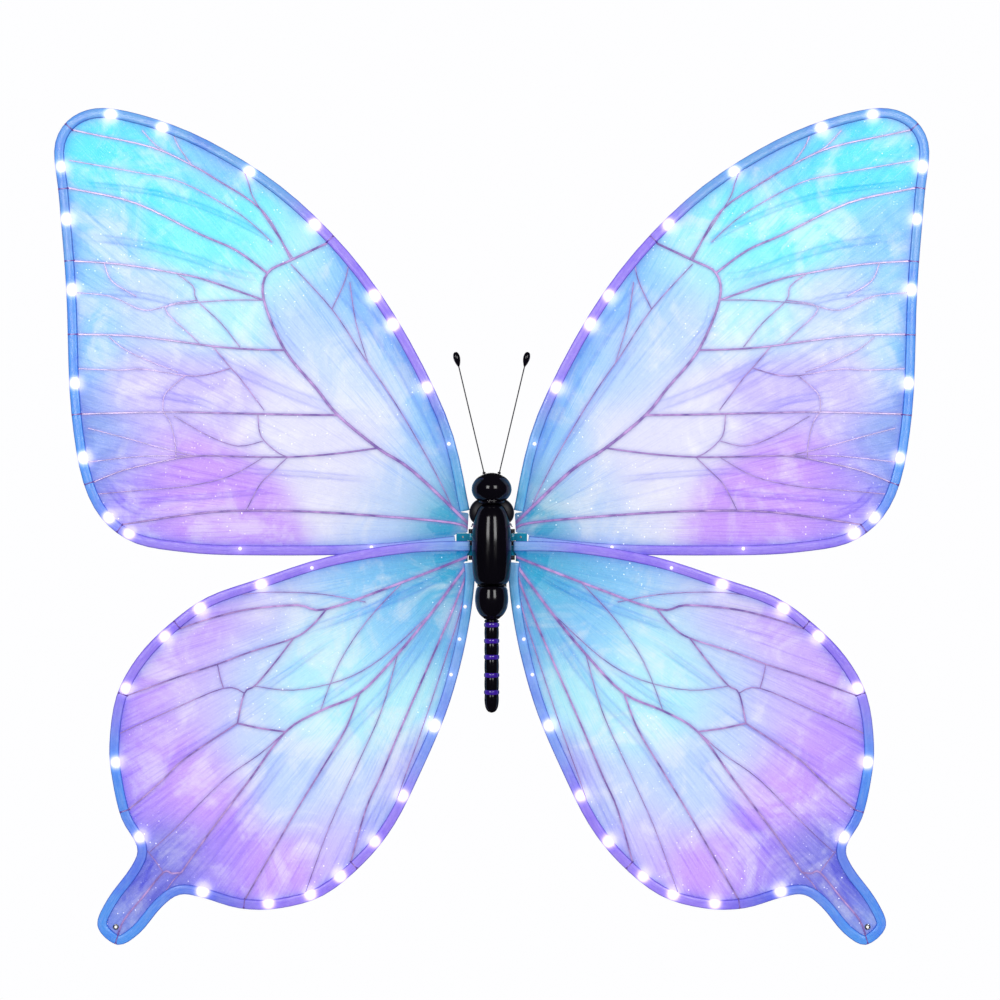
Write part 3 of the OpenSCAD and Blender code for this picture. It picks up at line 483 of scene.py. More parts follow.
def set_vector(obj, name, values):
    a = obj.data.attributes.new(name, "FLOAT_VECTOR", "POINT")
    a.data.foreach_set("vector", np.asarray(values, np.float32).ravel())


def set_color(obj, name, values):
    v = np.asarray(values, np.float32)
    v = np.hstack([v, np.ones((len(v), 1), np.float32)])
    a = obj.data.attributes.new(name, "FLOAT_COLOR", "POINT")
    a.data.foreach_set("color", v.ravel())


def angles(n):
    return [2 * math.pi * k / n for k in range(n)]


def squared(v, power):
    """A power of v that keeps its sign. Below 1 it squares off a round section."""
    return math.copysign(abs(v) ** power, v)


def smooth_line(points, steps):
    """Catmull-Rom points through a list."""
    p = np.asarray(points, float)
    out = []
    n = len(p)
    for i in range(n - 1):
        a, b, c, d = p[max(i - 1, 0)], p[i], p[i + 1], p[min(i + 2, n - 1)]
        for k in range(steps):
            t = k / steps
            out.append(0.5 * (2 * b + (c - a) * t + (2 * a - 5 * b + 4 * c - d) * t * t
                              + (3 * b - a - 3 * c + d) * t ** 3))
    out.append(p[-1])
    return np.array(out)


def resample(line, step):
    line = np.asarray(line, float)
    d = np.r_[0, np.cumsum(np.linalg.norm(np.diff(line, axis=0), axis=1))]
    n = max(2, int(round(d[-1] / step)) + 1)
    s = np.linspace(0, d[-1], n)
    return np.stack([np.interp(s, d, line[:, k]) for k in range(line.shape[1])], 1), s


def lathe(name, profile, centre, material, steps=6, segments=96):
    """Turns (radius, height) points in mm about an upright axis at centre (x, y) in mm."""
    line = smooth_line(profile, steps)
    verts, faces, rings = [], [], []
    for r, z in line:
        if r < 0.02:
            rings.append([len(verts)])
            verts.append((centre[0] * MM, centre[1] * MM, z * MM))
            continue
        ring = []
        for a in angles(segments):
            ring.append(len(verts))
            verts.append(((centre[0] + r * math.cos(a)) * MM, (centre[1] + r * math.sin(a)) * MM, z * MM))
        rings.append(ring)
    for a, b in zip(rings, rings[1:]):
        for k in range(segments):
            j = (k + 1) % segments
            if len(a) == 1 and len(b) > 1:
                faces.append((a[0], b[j], b[k]))
            elif len(b) == 1 and len(a) > 1:
                faces.append((a[k], a[j], b[0]))
            elif len(a) > 1:
                faces.append((a[k], a[j], b[j], b[k]))
    if len(rings[0]) > 1:
        faces.append(tuple(reversed(rings[0])))
    if len(rings[-1]) > 1:
        faces.append(tuple(rings[-1]))
    obj = new_object(name, verts, faces, material)
    fix_normals(obj)
    return obj


def edit_mesh(obj, change):
    bm = bmesh.new()
    bm.from_mesh(obj.data)
    change(bm)
    bm.to_mesh(obj.data)
    bm.free()


def fix_normals(obj):
    edit_mesh(obj, lambda bm: bmesh.ops.recalc_face_normals(bm, faces=bm.faces))


def wrap(faces, n, sides, start=0, caps=True):
    """Adds the faces of a tube made of n rings."""
    for i in range(n - 1):
        for k in range(sides):
            j = (k + 1) % sides
            a = start + i * sides
            faces.append((a + k, a + j, a + sides + j, a + sides + k))
    if caps:
        faces.append(tuple(start + k for k in range(sides - 1, -1, -1)))
        faces.append(tuple(start + (n - 1) * sides + k for k in range(sides)))


def tube_parts(path, radii, sides, verts, faces, flat=1.0):
    """Adds a round tube along a path to verts and faces. Radii can vary along it."""
    path = np.asarray(path, float)
    n = len(path)
    d = np.gradient(path, axis=0)
    d /= np.linalg.norm(d, axis=1)[:, None]
    ref = np.array([0, 1.0, 0]) if abs(d[:, 1]).max() < 0.9 else np.array([0, 0, 1.0])
    start = len(verts)
    for i in range(n):
        u = np.cross(d[i], ref)
        u /= np.linalg.norm(u)
        v = np.cross(u, d[i])
        r = radii[i] if hasattr(radii, "__len__") else radii
        for a in angles(sides):
            verts.append(path[i] + r * (math.cos(a) * u + flat * math.sin(a) * v))
    wrap(faces, n, sides, start)


def dome_parts(centre, r, verts, faces, rings=5, sides=14, depth=0.8):
    """Adds a low dome that faces the front."""
    start = len(verts)
    verts.append(np.array(centre) + np.array([0, -r * depth, 0]))
    for i in range(1, rings + 1):
        a = math.pi / 2 * i / rings
        for b in angles(sides):
            verts.append(np.array(centre) + np.array(
                [r * math.sin(a) * math.cos(b), -r * depth * math.cos(a), r * math.sin(a) * math.sin(b)]))
    for k in range(sides):
        faces.append((start, start + 1 + k, start + 1 + (k + 1) % sides))
    for i in range(rings - 1):
        a = start + 1 + i * sides
        for k in range(sides):
            j = (k + 1) % sides
            faces.append((a + k, a + sides + k, a + sides + j, a + j))
    faces.append(tuple(start + 1 + (rings - 1) * sides + k for k in range(sides)))


def front_loops(node):
    """Closed outlines, as (x, z) in metres, of the node's face that looks to the front."""
    mesh = nodes[node].data
    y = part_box(node)[0].y
    key = {}
    names = []
    for v in mesh.vertices:
        k = (round(v.co.x * 1e6), round(v.co.z * 1e6))
        names.append(k)
        key.setdefault(k, (v.co.x, v.co.z))
    used = set()
    for p in mesh.polygons:
        if all(abs(mesh.vertices[i].co.y - y) < 2e-6 for i in p.vertices):
            ring = [names[i] for i in p.vertices]
            for a, b in zip(ring, ring[1:] + ring[:1]):
                used.add((a, b))
    follow = {a: b for a, b in used if (b, a) not in used}
    loops = []
    while follow:
        a = next(iter(follow))
        loop = []
        while a in follow:
            loop.append(key[a])
            a = follow.pop(a)
        loops.append(np.array(loop))
    return sorted(loops, key=lambda c: -len(c))


def inside(points, loop):
    x, z = points[:, 0], points[:, 1]
    hit = np.zeros(len(points), bool)
    for (x0, z0), (x1, z1) in zip(loop, np.roll(loop, -1, axis=0)):
        cross = (z0 > z) != (z1 > z)
        if z1 != z0:
            hit ^= cross & (x < (x1 - x0) * (z - z0) / (z1 - z0) + x0)
    return hit


def line_distance(points, line, closed=False):
    """Distance of each point from a polyline."""
    line = np.asarray(line, float)
    pairs = list(zip(line[:-1], line[1:])) + ([(line[-1], line[0])] if closed else [])
    best = np.full(len(points), 1e9)
    for a, b in pairs:
        d = b - a
        t = np.clip(((points - a) @ d) / max(d @ d, 1e-18), 0, 1)
        best = np.minimum(best, np.linalg.norm(points - (a + t[:, None] * d), axis=1))
    return best


def islands(node):
    """Lowest and highest corner of each separate solid in a node."""
    mesh = nodes[node].data
    co = np.array([v.co for v in mesh.vertices])
    key = {}
    ids = np.array([key.setdefault(tuple(np.round(c * 1e6).astype(int)), len(key)) for c in co])
    parent = list(range(len(key)))

    def root(i):
        while parent[i] != i:
            parent[i] = parent[parent[i]]
            i = parent[i]
        return i
    for p in mesh.polygons:
        r = [root(ids[i]) for i in p.vertices]
        for q in r[1:]:
            parent[root(q)] = root(r[0])
    groups = {}
    for i, k in enumerate(ids):
        groups.setdefault(root(k), []).append(co[i])
    return [(np.min(g, 0), np.max(g, 0)) for g in groups.values()]


def reach(points, y, *names):
    """Distance of each (x, z) point, at depth y, from the named CAD nodes."""
    verts, faces = [], []
    for n in names:
        mesh = nodes[n].data
        base = len(verts)
        verts += [v.co.copy() for v in mesh.vertices]
        faces += [[base + i for i in p.vertices] for p in mesh.polygons]
    tree = BVHTree.FromPolygons(verts, faces)
    return np.array([tree.find_nearest(Vector((p[0], y, p[1])))[3] for p in points])


def bevel(node, width):
    """Rounds a CAD node's edges with modifiers only."""
    obj = nodes[node]
    weld = obj.modifiers.new("weld", "WELD")
    weld.merge_threshold = 2e-6
    cut = obj.modifiers.new("round", "BEVEL")
    cut.width, cut.segments, cut.limit_method = width, 2, "ANGLE"
    cut.angle_limit = math.radians(32)
    cut.use_clamp_overlap = True
    cut.harden_normals = False


def paint(node, material):
    obj = nodes[node]
    obj.data.materials.clear()
    obj.data.materials.append(material.m)


# ---------------------------------------------------------------- wings
# A small palette, and the round places (x, z) in mm where each colour is strongest.
PALETTE = {
    "teal": (0.05, 0.70, 0.85), "deep_sky": (0.35, 0.75, 0.95), "sky": (0.50, 0.80, 1.00),
    "ice": (0.70, 0.95, 1.00), "mist": (0.75, 0.85, 1.00), "pale": (0.90, 0.90, 1.00),
    "lilac": (0.80, 0.75, 1.00), "orchid": (0.80, 0.60, 1.00), "violet": (0.70, 0.55, 1.00),
    "indigo": (0.45, 0.45, 0.90), "azure": (0.50, 0.65, 0.95), "aqua": (0.40, 0.95, 1.00),
    "cyan": (0.15, 0.90, 1.00), "steel_blue": (0.40, 0.65, 0.90), "blue": (0.30, 0.60, 0.95),
    "purple": (0.60, 0.50, 0.95), "lavender": (0.60, 0.65, 0.95)}
FORE_TINTS = {
    "teal": [(30, 10), (30, 30), (40, 20)],
    "sky": [(60, 100), (90, 170), (150, 250), (400, 300), (410, 200), (280, 390)],
    "mist": [(100, 30), (80, 60), (180, 220), (130, 170), (340, 230)],
    "pale": [(120, 110), (150, 60), (200, 120)],
    "lilac": [(280, 150), (350, 150)], "orchid": [(250, 20), (300, 60)], "violet": [(360, 50)],
    "ice": [(270, 230), (200, 290)], "aqua": [(240, 310), (300, 310)], "cyan": [(330, 370), (390, 390)],
    "azure": [(400, 70), (410, 120)]}
HIND_TINTS = {
    "teal": [(30, -20), (40, -30), (30, -50)],
    "deep_sky": [(50, -50), (40, -90), (90, -40)], "sky": [(100, -90), (140, -40)],
    "ice": [(150, -100), (80, -150), (120, -180), (180, -150)],
    "mist": [(190, -50), (240, -130), (240, -200), (200, -250), (130, -250)],
    "lilac": [(80, -240), (150, -300), (240, -60), (300, -120), (290, -170)],
    "orchid": [(290, -90), (330, -130), (320, -210), (280, -250), (210, -330)],
    "violet": [(350, -200), (360, -250), (270, -320)], "indigo": [(310, -330), (340, -330), (350, -360)],
    "azure": [(380, -390)]}
FORE_EDGE_TINTS = {
    "teal": [(20, 20)], "steel_blue": [(40, 100), (230, 370), (300, 410), (400, 430), (430, 330)],
    "purple": [(70, 170), (110, 250), (150, 300), (360, 0), (290, -10), (180, -10)],
    "blue": [(440, 390), (430, 230), (420, 120), (400, 40)], "lavender": [(50, -10), (100, -10)]}
HIND_EDGE_TINTS = {
    "lavender": [(30, 0)],
    "purple": [(100, -10), (200, -30), (280, -60), (340, -100), (380, -160), (210, -370), (130, -320),
               (90, -270)],
    "blue": [(380, -220), (370, -280), (390, -370), (380, -400), (330, -370)],
    "azure": [(60, -200), (40, -150)],
    "indigo": [(290, -360), (360, -310)], "steel_blue": [(20, -90)], "teal": [(20, -30)]}
# Soft folds in the film as (x, z) points in mm and their half width.
FORE_FOLDS = [
    (4.0, [(150, 128), (200, 146), (250, 168), (296, 192)]),
    (3.2, [(226, 262), (262, 268), (300, 282), (352, 296), (410, 304)]),
    (5.0, [(236, 250), (262, 262), (300, 268)]), (2.2, [(206, 292), (262, 322), (330, 346), (420, 358)]),
    (6.0, [(36, 70), (70, 140), (110, 205), (160, 262)]), (3.0, [(60, 78), (110, 150), (150, 205)]),
    (2.6, [(300, 232), (346, 244), (400, 250)]), (2.4, [(120, 60), (190, 66), (262, 70)]),
    (2.2, [(210, 50), (280, 44), (370, 38)]), (3.0, [(262, 128), (300, 140), (356, 148)]),
    (2.4, [(180, 170), (214, 214), (222, 252)]), (3.0, [(330, 20), (368, 36), (392, 66)])]
HIND_FOLDS = [
    (3.0, [(40, -32), (110, -64), (190, -92)]), (4.0, [(60, -90), (104, -150), (150, -200), (190, -262)]),
    (3.0, [(236, -170), (286, -200), (340, -232)]), (3.6, [(200, -206), (240, -262), (286, -318)]),
    (3.0, [(70, -170), (96, -236), (136, -310)]), (2.4, [(160, -100), (204, -132), (240, -158)]),
    (5.0, [(330, -290), (348, -330), (368, -372)]), (3.0, [(110, -120), (164, -158), (200, -176)])]


def blended(points, spots, sigma):
    """Smooth colour at each (x, z) from the named tints and their places."""
    place = np.array([p for places in spots.values() for p in places]) * MM
    color = np.array([srgb(*PALETTE[name]) for name, places in spots.items() for _ in places])
    d = np.linalg.norm(points[:, None] - place[None], axis=2)
    w = np.exp(-(d / sigma) ** 2) + 1e-9 / (1e-3 + d)
    return (w @ color) / w.sum(1)[:, None]


def lamp_level(which, x, z):
    """Lamps by the root, and along the inner part of the edge that faces the other wing, are dim."""
    if which == "fore":
        return 0.15 if x < 60 * MM or (z < 0 and x < 300 * MM) else 1
    return 0.1 if x < 50 * MM or (x < 200 * MM and z > -40 * MM) else 1


def lamps_of(node, which):
    """Centres of the light beads as (x, y, z), and how bright each one is."""
    found = []
    for lo, hi in islands(node):
        if (hi - lo).max() < 0.006:
            found.append((lo + hi) / 2)
    found.sort(key=lambda c: (round(abs(c[0]), 4), c[2]))
    level = [lamp_level(which, abs(c[0]), c[2]) * (0.8 + 0.3 * rng.random()) for c in found]
    return np.array(found), np.array(level)


def lamp_glow(points, lamps, level, radius):
    total = np.zeros(len(points))
    for c, k in zip(lamps, level):
        d = np.linalg.norm(points - c[[0, 2]], axis=1)
        total = total + k * np.exp(-(d / radius) ** 2)
    return total


def fold_points(width, pts, side):
    """Rows of points beside a fold, close enough together to draw it."""
    line, _ = resample(smooth_line(np.array(pts) * MM, 6), 0.0016)
    d = np.gradient(line, axis=0)
    across = np.stack([-d[:, 1], d[:, 0]], 1) / np.linalg.norm(d, axis=1)[:, None]
    rows = [line + across * width * MM * k for k in (-1.4, -1, -0.6, 0, 0.6, 1, 1.4)]
    return np.vstack(rows) * np.array([side, 1])


def clear_points(points, outer, holes):
    """The points inside an outline and outside its holes that are not too near either."""
    keep = inside(points, outer) & (line_distance(points, outer, True) > FILM_STEP * 0.5)
    for hole in holes:
        keep &= ~inside(points, hole) & (line_distance(points, hole, True) > FILM_STEP * 0.4)
    return points[keep]


def make_film(side_name, side, which, lamps, level, mat):
    node = f"{side_name}_{which}_film"
    outer, *holes = front_loops(node)
    lo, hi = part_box(node)
    edge, _ = resample(np.vstack([outer, outer[:1]]), FILM_STEP)
    edge = edge[:-1]
    xs = np.arange(lo.x, hi.x, FILM_STEP)
    grid = []
    for j, z in enumerate(np.arange(lo.z, hi.z, FILM_STEP * 0.866)):
        grid.append(np.stack([xs + (FILM_STEP / 2 if j % 2 else 0), np.full(len(xs), z)], 1))
    folds = FORE_FOLDS if which == "fore" else HIND_FOLDS
    extra = [fold_points(width, pts, side) for width, pts in folds]
    grid = np.vstack([clear_points(np.vstack(part), outer, holes) for part in (grid, extra)])
    rings = [edge, *holes]
    points = [Vector(p) for ring in rings for p in ring]
    edges, base = [], 0
    for ring in rings:
        n = len(ring)
        edges += [(base + i, base + (i + 1) % n) for i in range(n)]
        base += n
    points += [Vector(p) for p in grid]
    verts2, _, faces, _, _, _ = delaunay_2d_cdt(points, edges, [], 1, 1e-7)
    flat = np.array([tuple(v) for v in verts2])
    centre = np.array([flat[list(f)].mean(0) for f in faces])
    ok = inside(centre, outer)
    for hole in holes:
        ok &= ~inside(centre, hole)
    faces = [tuple(f) for f, k in zip(faces, ok) if k]
    mid = (lo.y + hi.y) / 2
    near_vein = reach(flat, mid, f"{side_name}_{which}_spars", f"{side_name}_{which}_veins")
    near_spar = reach(flat, mid, f"{side_name}_{which}_spars")
    near_plate = reach(flat, mid, f"{side_name}_wing_gussets")
    near_edge = line_distance(flat, edge, True)
    right = flat * np.array([side, 1])
    crease = np.zeros(len(flat))
    ridge = np.zeros(len(flat))
    for width, pts in folds:
        line, _ = resample(smooth_line(np.array(pts) * MM, 6), 0.004)
        d = line_distance(right, line)
        ends = np.minimum(np.linalg.norm(right - line[0], axis=1), np.linalg.norm(right - line[-1], axis=1))
        fade = np.clip(ends / 0.03, 0, 1)
        w = width * MM
        crease = np.maximum(crease, fade * np.exp(-((d - w) / (0.45 * w)) ** 2) * 0.9)
        crease = np.maximum(crease, fade * 0.45 * np.exp(-(d / w) ** 4))
        ridge = ridge + fade * np.exp(-(d / w) ** 2)
    clear = np.minimum(np.minimum(near_spar, near_edge), np.maximum(near_plate - 0.003, 0))
    hold = np.clip(clear / 0.010, 0, 1)
    swell = np.array([noise.noise(Vector((p[0] * 30 + side * 7, p[1] * 30, 3.1))) for p in flat])
    small = np.array([noise.noise(Vector((p[0] * 95, p[1] * 95 + side * 3, 8.4))) for p in flat])
    y = mid + hold * (0.0005 + 0.0009 * swell + 0.0004 * small - 0.0005 * np.clip(ridge, 0, 1))
    verts = np.stack([flat[:, 0], y, flat[:, 1]], 1)
    obj = new_object(f"{side_name}_{which}_wing_film", verts, faces, mat["film"])
    tints = FORE_TINTS if which == "fore" else HIND_TINTS
    set_color(obj, "tint", blended(right, tints, 0.036))
    away = right - np.array(FLOW_ROOT[which])
    r = np.linalg.norm(away, axis=1)
    a = np.arctan2(away[:, 1], away[:, 0])
    set_vector(obj, "flow", np.stack([a + side * 3, r, np.zeros(len(r))], 1))
    set_float(obj, "glow", lamp_glow(flat, lamps, level, FILM_GLOW))
    set_float(obj, "rim", np.exp(-near_edge / 0.006))
    set_float(obj, "stain", np.exp(-np.maximum(near_vein - 0.0006, 0) / 0.0011))
    set_float(obj, "crease", crease)
    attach(obj, f"{side_name}_wing")
    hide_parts(node)


def sleeve_chains(node):
    """Outer and inner edge of the sleeve, from one end of it to the other, as equal lists of (x, z)."""
    loop = front_loops(node)[0]
    n = len(loop)
    gap = np.linalg.norm(np.roll(loop, -1, axis=0) - loop, axis=1)
    turn = []
    for i in range(n):
        a = loop[i] - loop[i - 1]
        b = loop[(i + 1) % n] - loop[i]
        turn.append(abs(math.atan2(a[0] * b[1] - a[1] * b[0], a @ b)))
    turn = np.array(turn)
    score = [(min(turn[i], turn[(i + 1) % n]) if abs(gap[i] - 0.010) < 4e-4 else 0, i) for i in range(n)]
    ends = sorted(i for _, i in sorted(score)[-2:])
    first = loop[ends[0] + 1:ends[1] + 1]
    second = np.vstack([loop[ends[1] + 1:], loop[:ends[0] + 1]])[::-1]
    def length(c):
        return np.linalg.norm(np.diff(c, axis=0), axis=1).sum()
    return (first, second) if length(first) > length(second) else (second, first)


def make_sleeve(side_name, side, which, lamps, level, mat):
    node = f"{side_name}_{which}_sleeve"
    outer, inner = sleeve_chains(node)
    lo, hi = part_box(node)
    mid, half_t = (lo.y + hi.y) / 2, (hi.y - lo.y) / 2
    both, s = resample(np.hstack([outer, inner]), SLEEVE_STEP)
    outer, inner = both[:, :2], both[:, 2:]
    n, sides = len(outer), 20
    centre = (outer + inner) / 2
    cross = (outer - inner) / 2
    verts, flow, edge, flat = [], [], [], []
    for i in range(n):
        pinch = 1 - 0.05 * max(0, noise.noise(Vector((i * 0.33, side * 5.0, len(which)))))
        for a in angles(sides):
            u, v = squared(math.cos(a), 0.62), squared(math.sin(a), 0.8)
            p = centre[i] + cross[i] * u
            verts.append((p[0], mid + half_t * v * pinch, p[1]))
            flow.append((s[i], u * 0.005, 0))
            edge.append(abs(u))
            flat.append(p)
    faces = []
    wrap(faces, n, sides)
    obj = new_object(f"{side_name}_{which}_edge_sleeve", verts, faces, mat["sleeve"])
    fix_normals(obj)
    flat = np.array(flat)
    right = flat * np.array([side, 1])
    set_color(obj, "tint", blended(right, FORE_EDGE_TINTS if which == "fore" else HIND_EDGE_TINTS, 0.045))
    set_vector(obj, "flow", flow)
    set_float(obj, "edge", edge)
    set_float(obj, "glow", lamp_glow(flat, lamps, level, SLEEVE_GLOW))
    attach(obj, f"{side_name}_wing")
    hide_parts(node)
    return outer, inner, mid, half_t


def make_lights(side_name, side, which, lamps, level, outer, inner, mid, half_t, mat):
    verts, faces, lit = [], [], []
    for c, k in zip(lamps, level):
        before = len(verts)
        dome_parts((c[0], mid - half_t * 0.86, c[2]), DOME_R, verts, faces)
        lit += [k] * (len(verts) - before)
    obj = new_object(f"{side_name}_{which}_lamps", verts, faces, mat["light_dome"])
    set_float(obj, "lit", lit)
    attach(obj, f"{side_name}_wing")
    verts, faces = [], []
    centre = (outer + inner) / 2
    cross = (outer - inner) / 2
    for way in (-1, 1):
        path = []
        for i in range(len(centre)):
            sway = 0.16 * way + 0.10 * noise.noise(Vector((i * 0.21, way * 4.0, side * 2.0)))
            p = centre[i] + cross[i] * sway
            path.append((p[0], mid - 0.0009 + 0.0003 * way, p[1]))
        tube_parts(path, LAMP_WIRE_R, 6, verts, faces)
    wires = new_object(f"{side_name}_{which}_lamp_wires", verts, faces, mat["light_wire"])
    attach(wires, f"{side_name}_wing")
    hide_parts(f"{side_name}_{which}_lights")


def make_vein_ends(side_name, which, outer, inner, mid, half_t, mat):
    """The end of each main vein, carried over the front of the sleeve to its outer edge."""
    mesh = nodes[f"{side_name}_{which}_spars"].data
    pts = np.unique(np.round(np.array([(v.co.x, v.co.z) for v in mesh.vertices]), 6), axis=0)
    fine, _ = resample(np.hstack([outer, inner]), 0.0008)
    hits = []
    for p in pts:
        d = np.linalg.norm(fine[:, 2:] - p, axis=1)
        i = int(d.argmin())
        if d[i] < 0.0006:
            hits.append((i, p))
    hits.sort(key=lambda h: h[0])
    groups = []
    for i, p in hits:
        if groups and i - groups[-1][-1][0] < 8:
            groups[-1].append((i, p))
        else:
            groups.append([(i, p)])
    verts, faces = [], []
    for g in groups:
        i = int(round(np.mean([h[0] for h in g])))
        if i < 12 or i > len(fine) - 12:
            continue
        a, b = fine[i, 2:], fine[i, :2]
        if abs(a[0]) < VEIN_ENDS_FROM:
            continue
        front = mid - half_t
        path, radii = [], []
        for t in np.linspace(-0.10, 0.97, 12):
            p = a + (b - a) * t
            lift = 1 - abs(2 * min(max(t, 0), 1) - 1) ** 4
            y = mid - 0.0008 + (front + 0.0003 - mid + 0.0008) * lift
            path.append((p[0], y, p[1]))
            radii.append(0.00085 * (1 - 0.25 * t))
        tube_parts(path, radii, 10, verts, faces, flat=0.55)
        dome_parts((path[-2][0], path[-3][1] + 0.0001, path[-2][2]), 0.0011, verts, faces, 4, 10)
    if not verts:
        return
    obj = new_object(f"{side_name}_{which}_vein_ends", verts, faces, mat["vein"])
    fix_normals(obj)
    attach(obj, f"{side_name}_wing")


def make_wing(side_name, side, which, mat):
    lamps, level = lamps_of(f"{side_name}_{which}_lights", which)
    make_film(side_name, side, which, lamps, level, mat)
    outer, inner, mid, half_t = make_sleeve(side_name, side, which, lamps, level, mat)
    make_lights(side_name, side, which, lamps, level, outer, inner, mid, half_t, mat)
    make_vein_ends(side_name, which, outer, inner, mid, half_t, mat)
    for kind, width in (("spars", 0.00055), ("veins", 0.00028)):
        paint(f"{side_name}_{which}_{kind}", mat["vein"])
        bevel(f"{side_name}_{which}_{kind}", width)


# ---------------------------------------------------------------- body mouldings
def make_body(mat):
    gloss = mat["black_gloss"]
    low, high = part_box("head")
    axis = (0, (low.y + high.y) / 2 / MM)
    top = high.z / MM
    head = lathe("head_cap", [(0, top), (5, top - 0.5), (10.5, top - 2.5), (15.5, top - 6.2),
                              (19, top - 11.5), (20, top - 16.2), (19.1, top - 21.3),
                              (16.8, top - 25.2), (14.6, top - 27.4), (13.2, top - 28.0),
                              (9, top - 28.0), (0, top - 28.0)], axis, gloss)
    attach(head, "hub")
    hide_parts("head")

    neck = lathe("neck_ring", [(0, 35.6), (9, 35.8), (12.2, 36.5), (13.3, 37.5), (13.2, 38.8), (12.0, 39.5),
                               (6, 39.6), (0, 39.6)], (0, -63), gloss)
    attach(neck, "hub")
    for side_name, side in SIDES:
        verts, faces = [], []
        rings, segs = 22, 40
        for i in range(rings + 1):
            a = math.pi * i / rings
            for b in angles(segs):
                cx = squared(math.cos(b), 0.9)
                verts.append(((side * (11.2 + 11.2 * math.sin(a) * cx)) * MM,
                              (-61 + 4.9 * math.sin(a) * math.sin(b)) * MM,
                              (28.4 + 12.8 * math.cos(a) + 0.10 * 11.2 * math.sin(a) * cx * -1.2) * MM))
        wrap(faces, rings + 1, segs, caps=False)
        lobe = new_object(f"{side_name}_collar_lobe", verts, faces, mat["black_satin"])
        edit_mesh(lobe, lambda bm: bmesh.ops.remove_doubles(bm, verts=bm.verts, dist=1e-5))
        fix_normals(lobe)
        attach(lobe, "hub")
    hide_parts("collar")

    barrel = lathe("thorax_barrel", [(0, 36.5), (7, 36.2), (12.4, 33.6), (16.4, 26), (18.7, 14), (19.5, 2),
                                     (19.5, -20), (18.6, -34), (16.4, -41.4), (11.6, -44.2), (0, -44.5)],
                   BODY_AXIS, gloss, steps=8, segments=128)
    edit_mesh(barrel, lambda bm: bmesh.ops.bisect_plane(
        bm, geom=bm.verts[:] + bm.edges[:] + bm.faces[:], plane_co=(0, -0.056, 0), plane_no=(0, 1, 0),
        clear_outer=True))
    thick = barrel.modifiers.new("wall", "SOLIDIFY")
    thick.thickness, thick.offset = 0.0018, -1
    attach(barrel, "hub")
    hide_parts("thorax_shell")

    bulb = lathe("abdomen_bulb", [(0, -44.6), (8, -44.8), (13, -45.6), (15.2, -48), (16.3, -54), (16.5, -60),
                                  (15.4, -67), (12.4, -73), (8.6, -76.8), (6.2, -78.4), (0, -78.6)],
                 TAIL_AXIS, gloss)
    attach(bulb, "hub")
    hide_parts("abdomen")

    rod = [(0, -78.5), (5.6, -78.6), (6.9, -79.6)]
    band_z = sorted(((lo[2] + hi[2]) / 2 / MM for lo, hi in islands("tail_bands")), reverse=True)
    z_prev = -79.6
    for z in band_z:
        rod += [(7.2, (z_prev + z + 2.6) / 2), (6.9, z + 2.7), (6.2, z + 2.2), (6.2, z - 2.2), (6.9, z - 2.7)]
        z_prev = z - 2.7
    rod += [(7.1, -160), (6.0, -166.4), (3.6, -170.2), (0, -171.5)]
    tail = lathe("tail_rod", rod, TAIL_AXIS, gloss, steps=4, segments=64)
    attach(tail, "hub")
    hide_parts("tail")
    for i, z in enumerate(band_z):
        ring = lathe(f"tail_band_{i + 1}", [(6.15, z + 2.3), (7.0, z + 2.2), (7.5, z + 1.2), (7.6, z),
                                            (7.5, z - 1.2), (7.0, z - 2.2), (6.15, z - 2.3)],
                     TAIL_AXIS, mat["violet_gloss"], steps=3, segments=64)
        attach(ring, "hub")
        if i == 0:
            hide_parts("tail_bands")

    for side_name, side in SIDES:
        paint(f"{side_name}_antenna_wire", mat["antenna_wire"])
        foot = Vector((side * 0.0075, -0.063, 0.0664))
        lean = Vector((side * 27, 0, 114)).normalized()
        length = Vector((27, 0, 114)).length
        tip = lathe(f"{side_name}_antenna_bud", [(0.62, -8.2), (0.9, -7.6), (1.6, -6.2), (2.6, -3.6),
                                                (3.3, -0.4), (3.35, 2.2), (2.7, 5.0), (1.5, 6.6), (0, 7.0)],
                    (0, 0), gloss, segments=40)
        turn = lean.to_track_quat("Z", "Y").to_matrix().to_4x4()
        tip.data.transform(Matrix.Translation(foot + lean * length * MM) @ turn)
        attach(tip, f"{side_name}_antenna")
        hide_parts(f"{side_name}_antenna_tip")


# ---------------------------------------------------------------- harness
# The strap loop as (y, z), and the right lead as (x, y, z), in mm
STRAP_LINE = [(-18, 30), (-8, 30), (18, 32), (58, 36), (104, 34), (146, 22), (169, -4), (169, -32),
              (156, -49), (136, -56), (116, -56), (96, -56), (76, -56), (56, -56), (34, -53), (12, -43),
              (-8, -38), (-18, -38)]
LEAD_LINE = [(11, -34.6, 27), (11.4, -37.2, 26.6), (13, -40, 24.4), (15.6, -42.4, 20.6), (18.6, -43.9, 16.4),
             (20.4, -44.4, 13.2)]


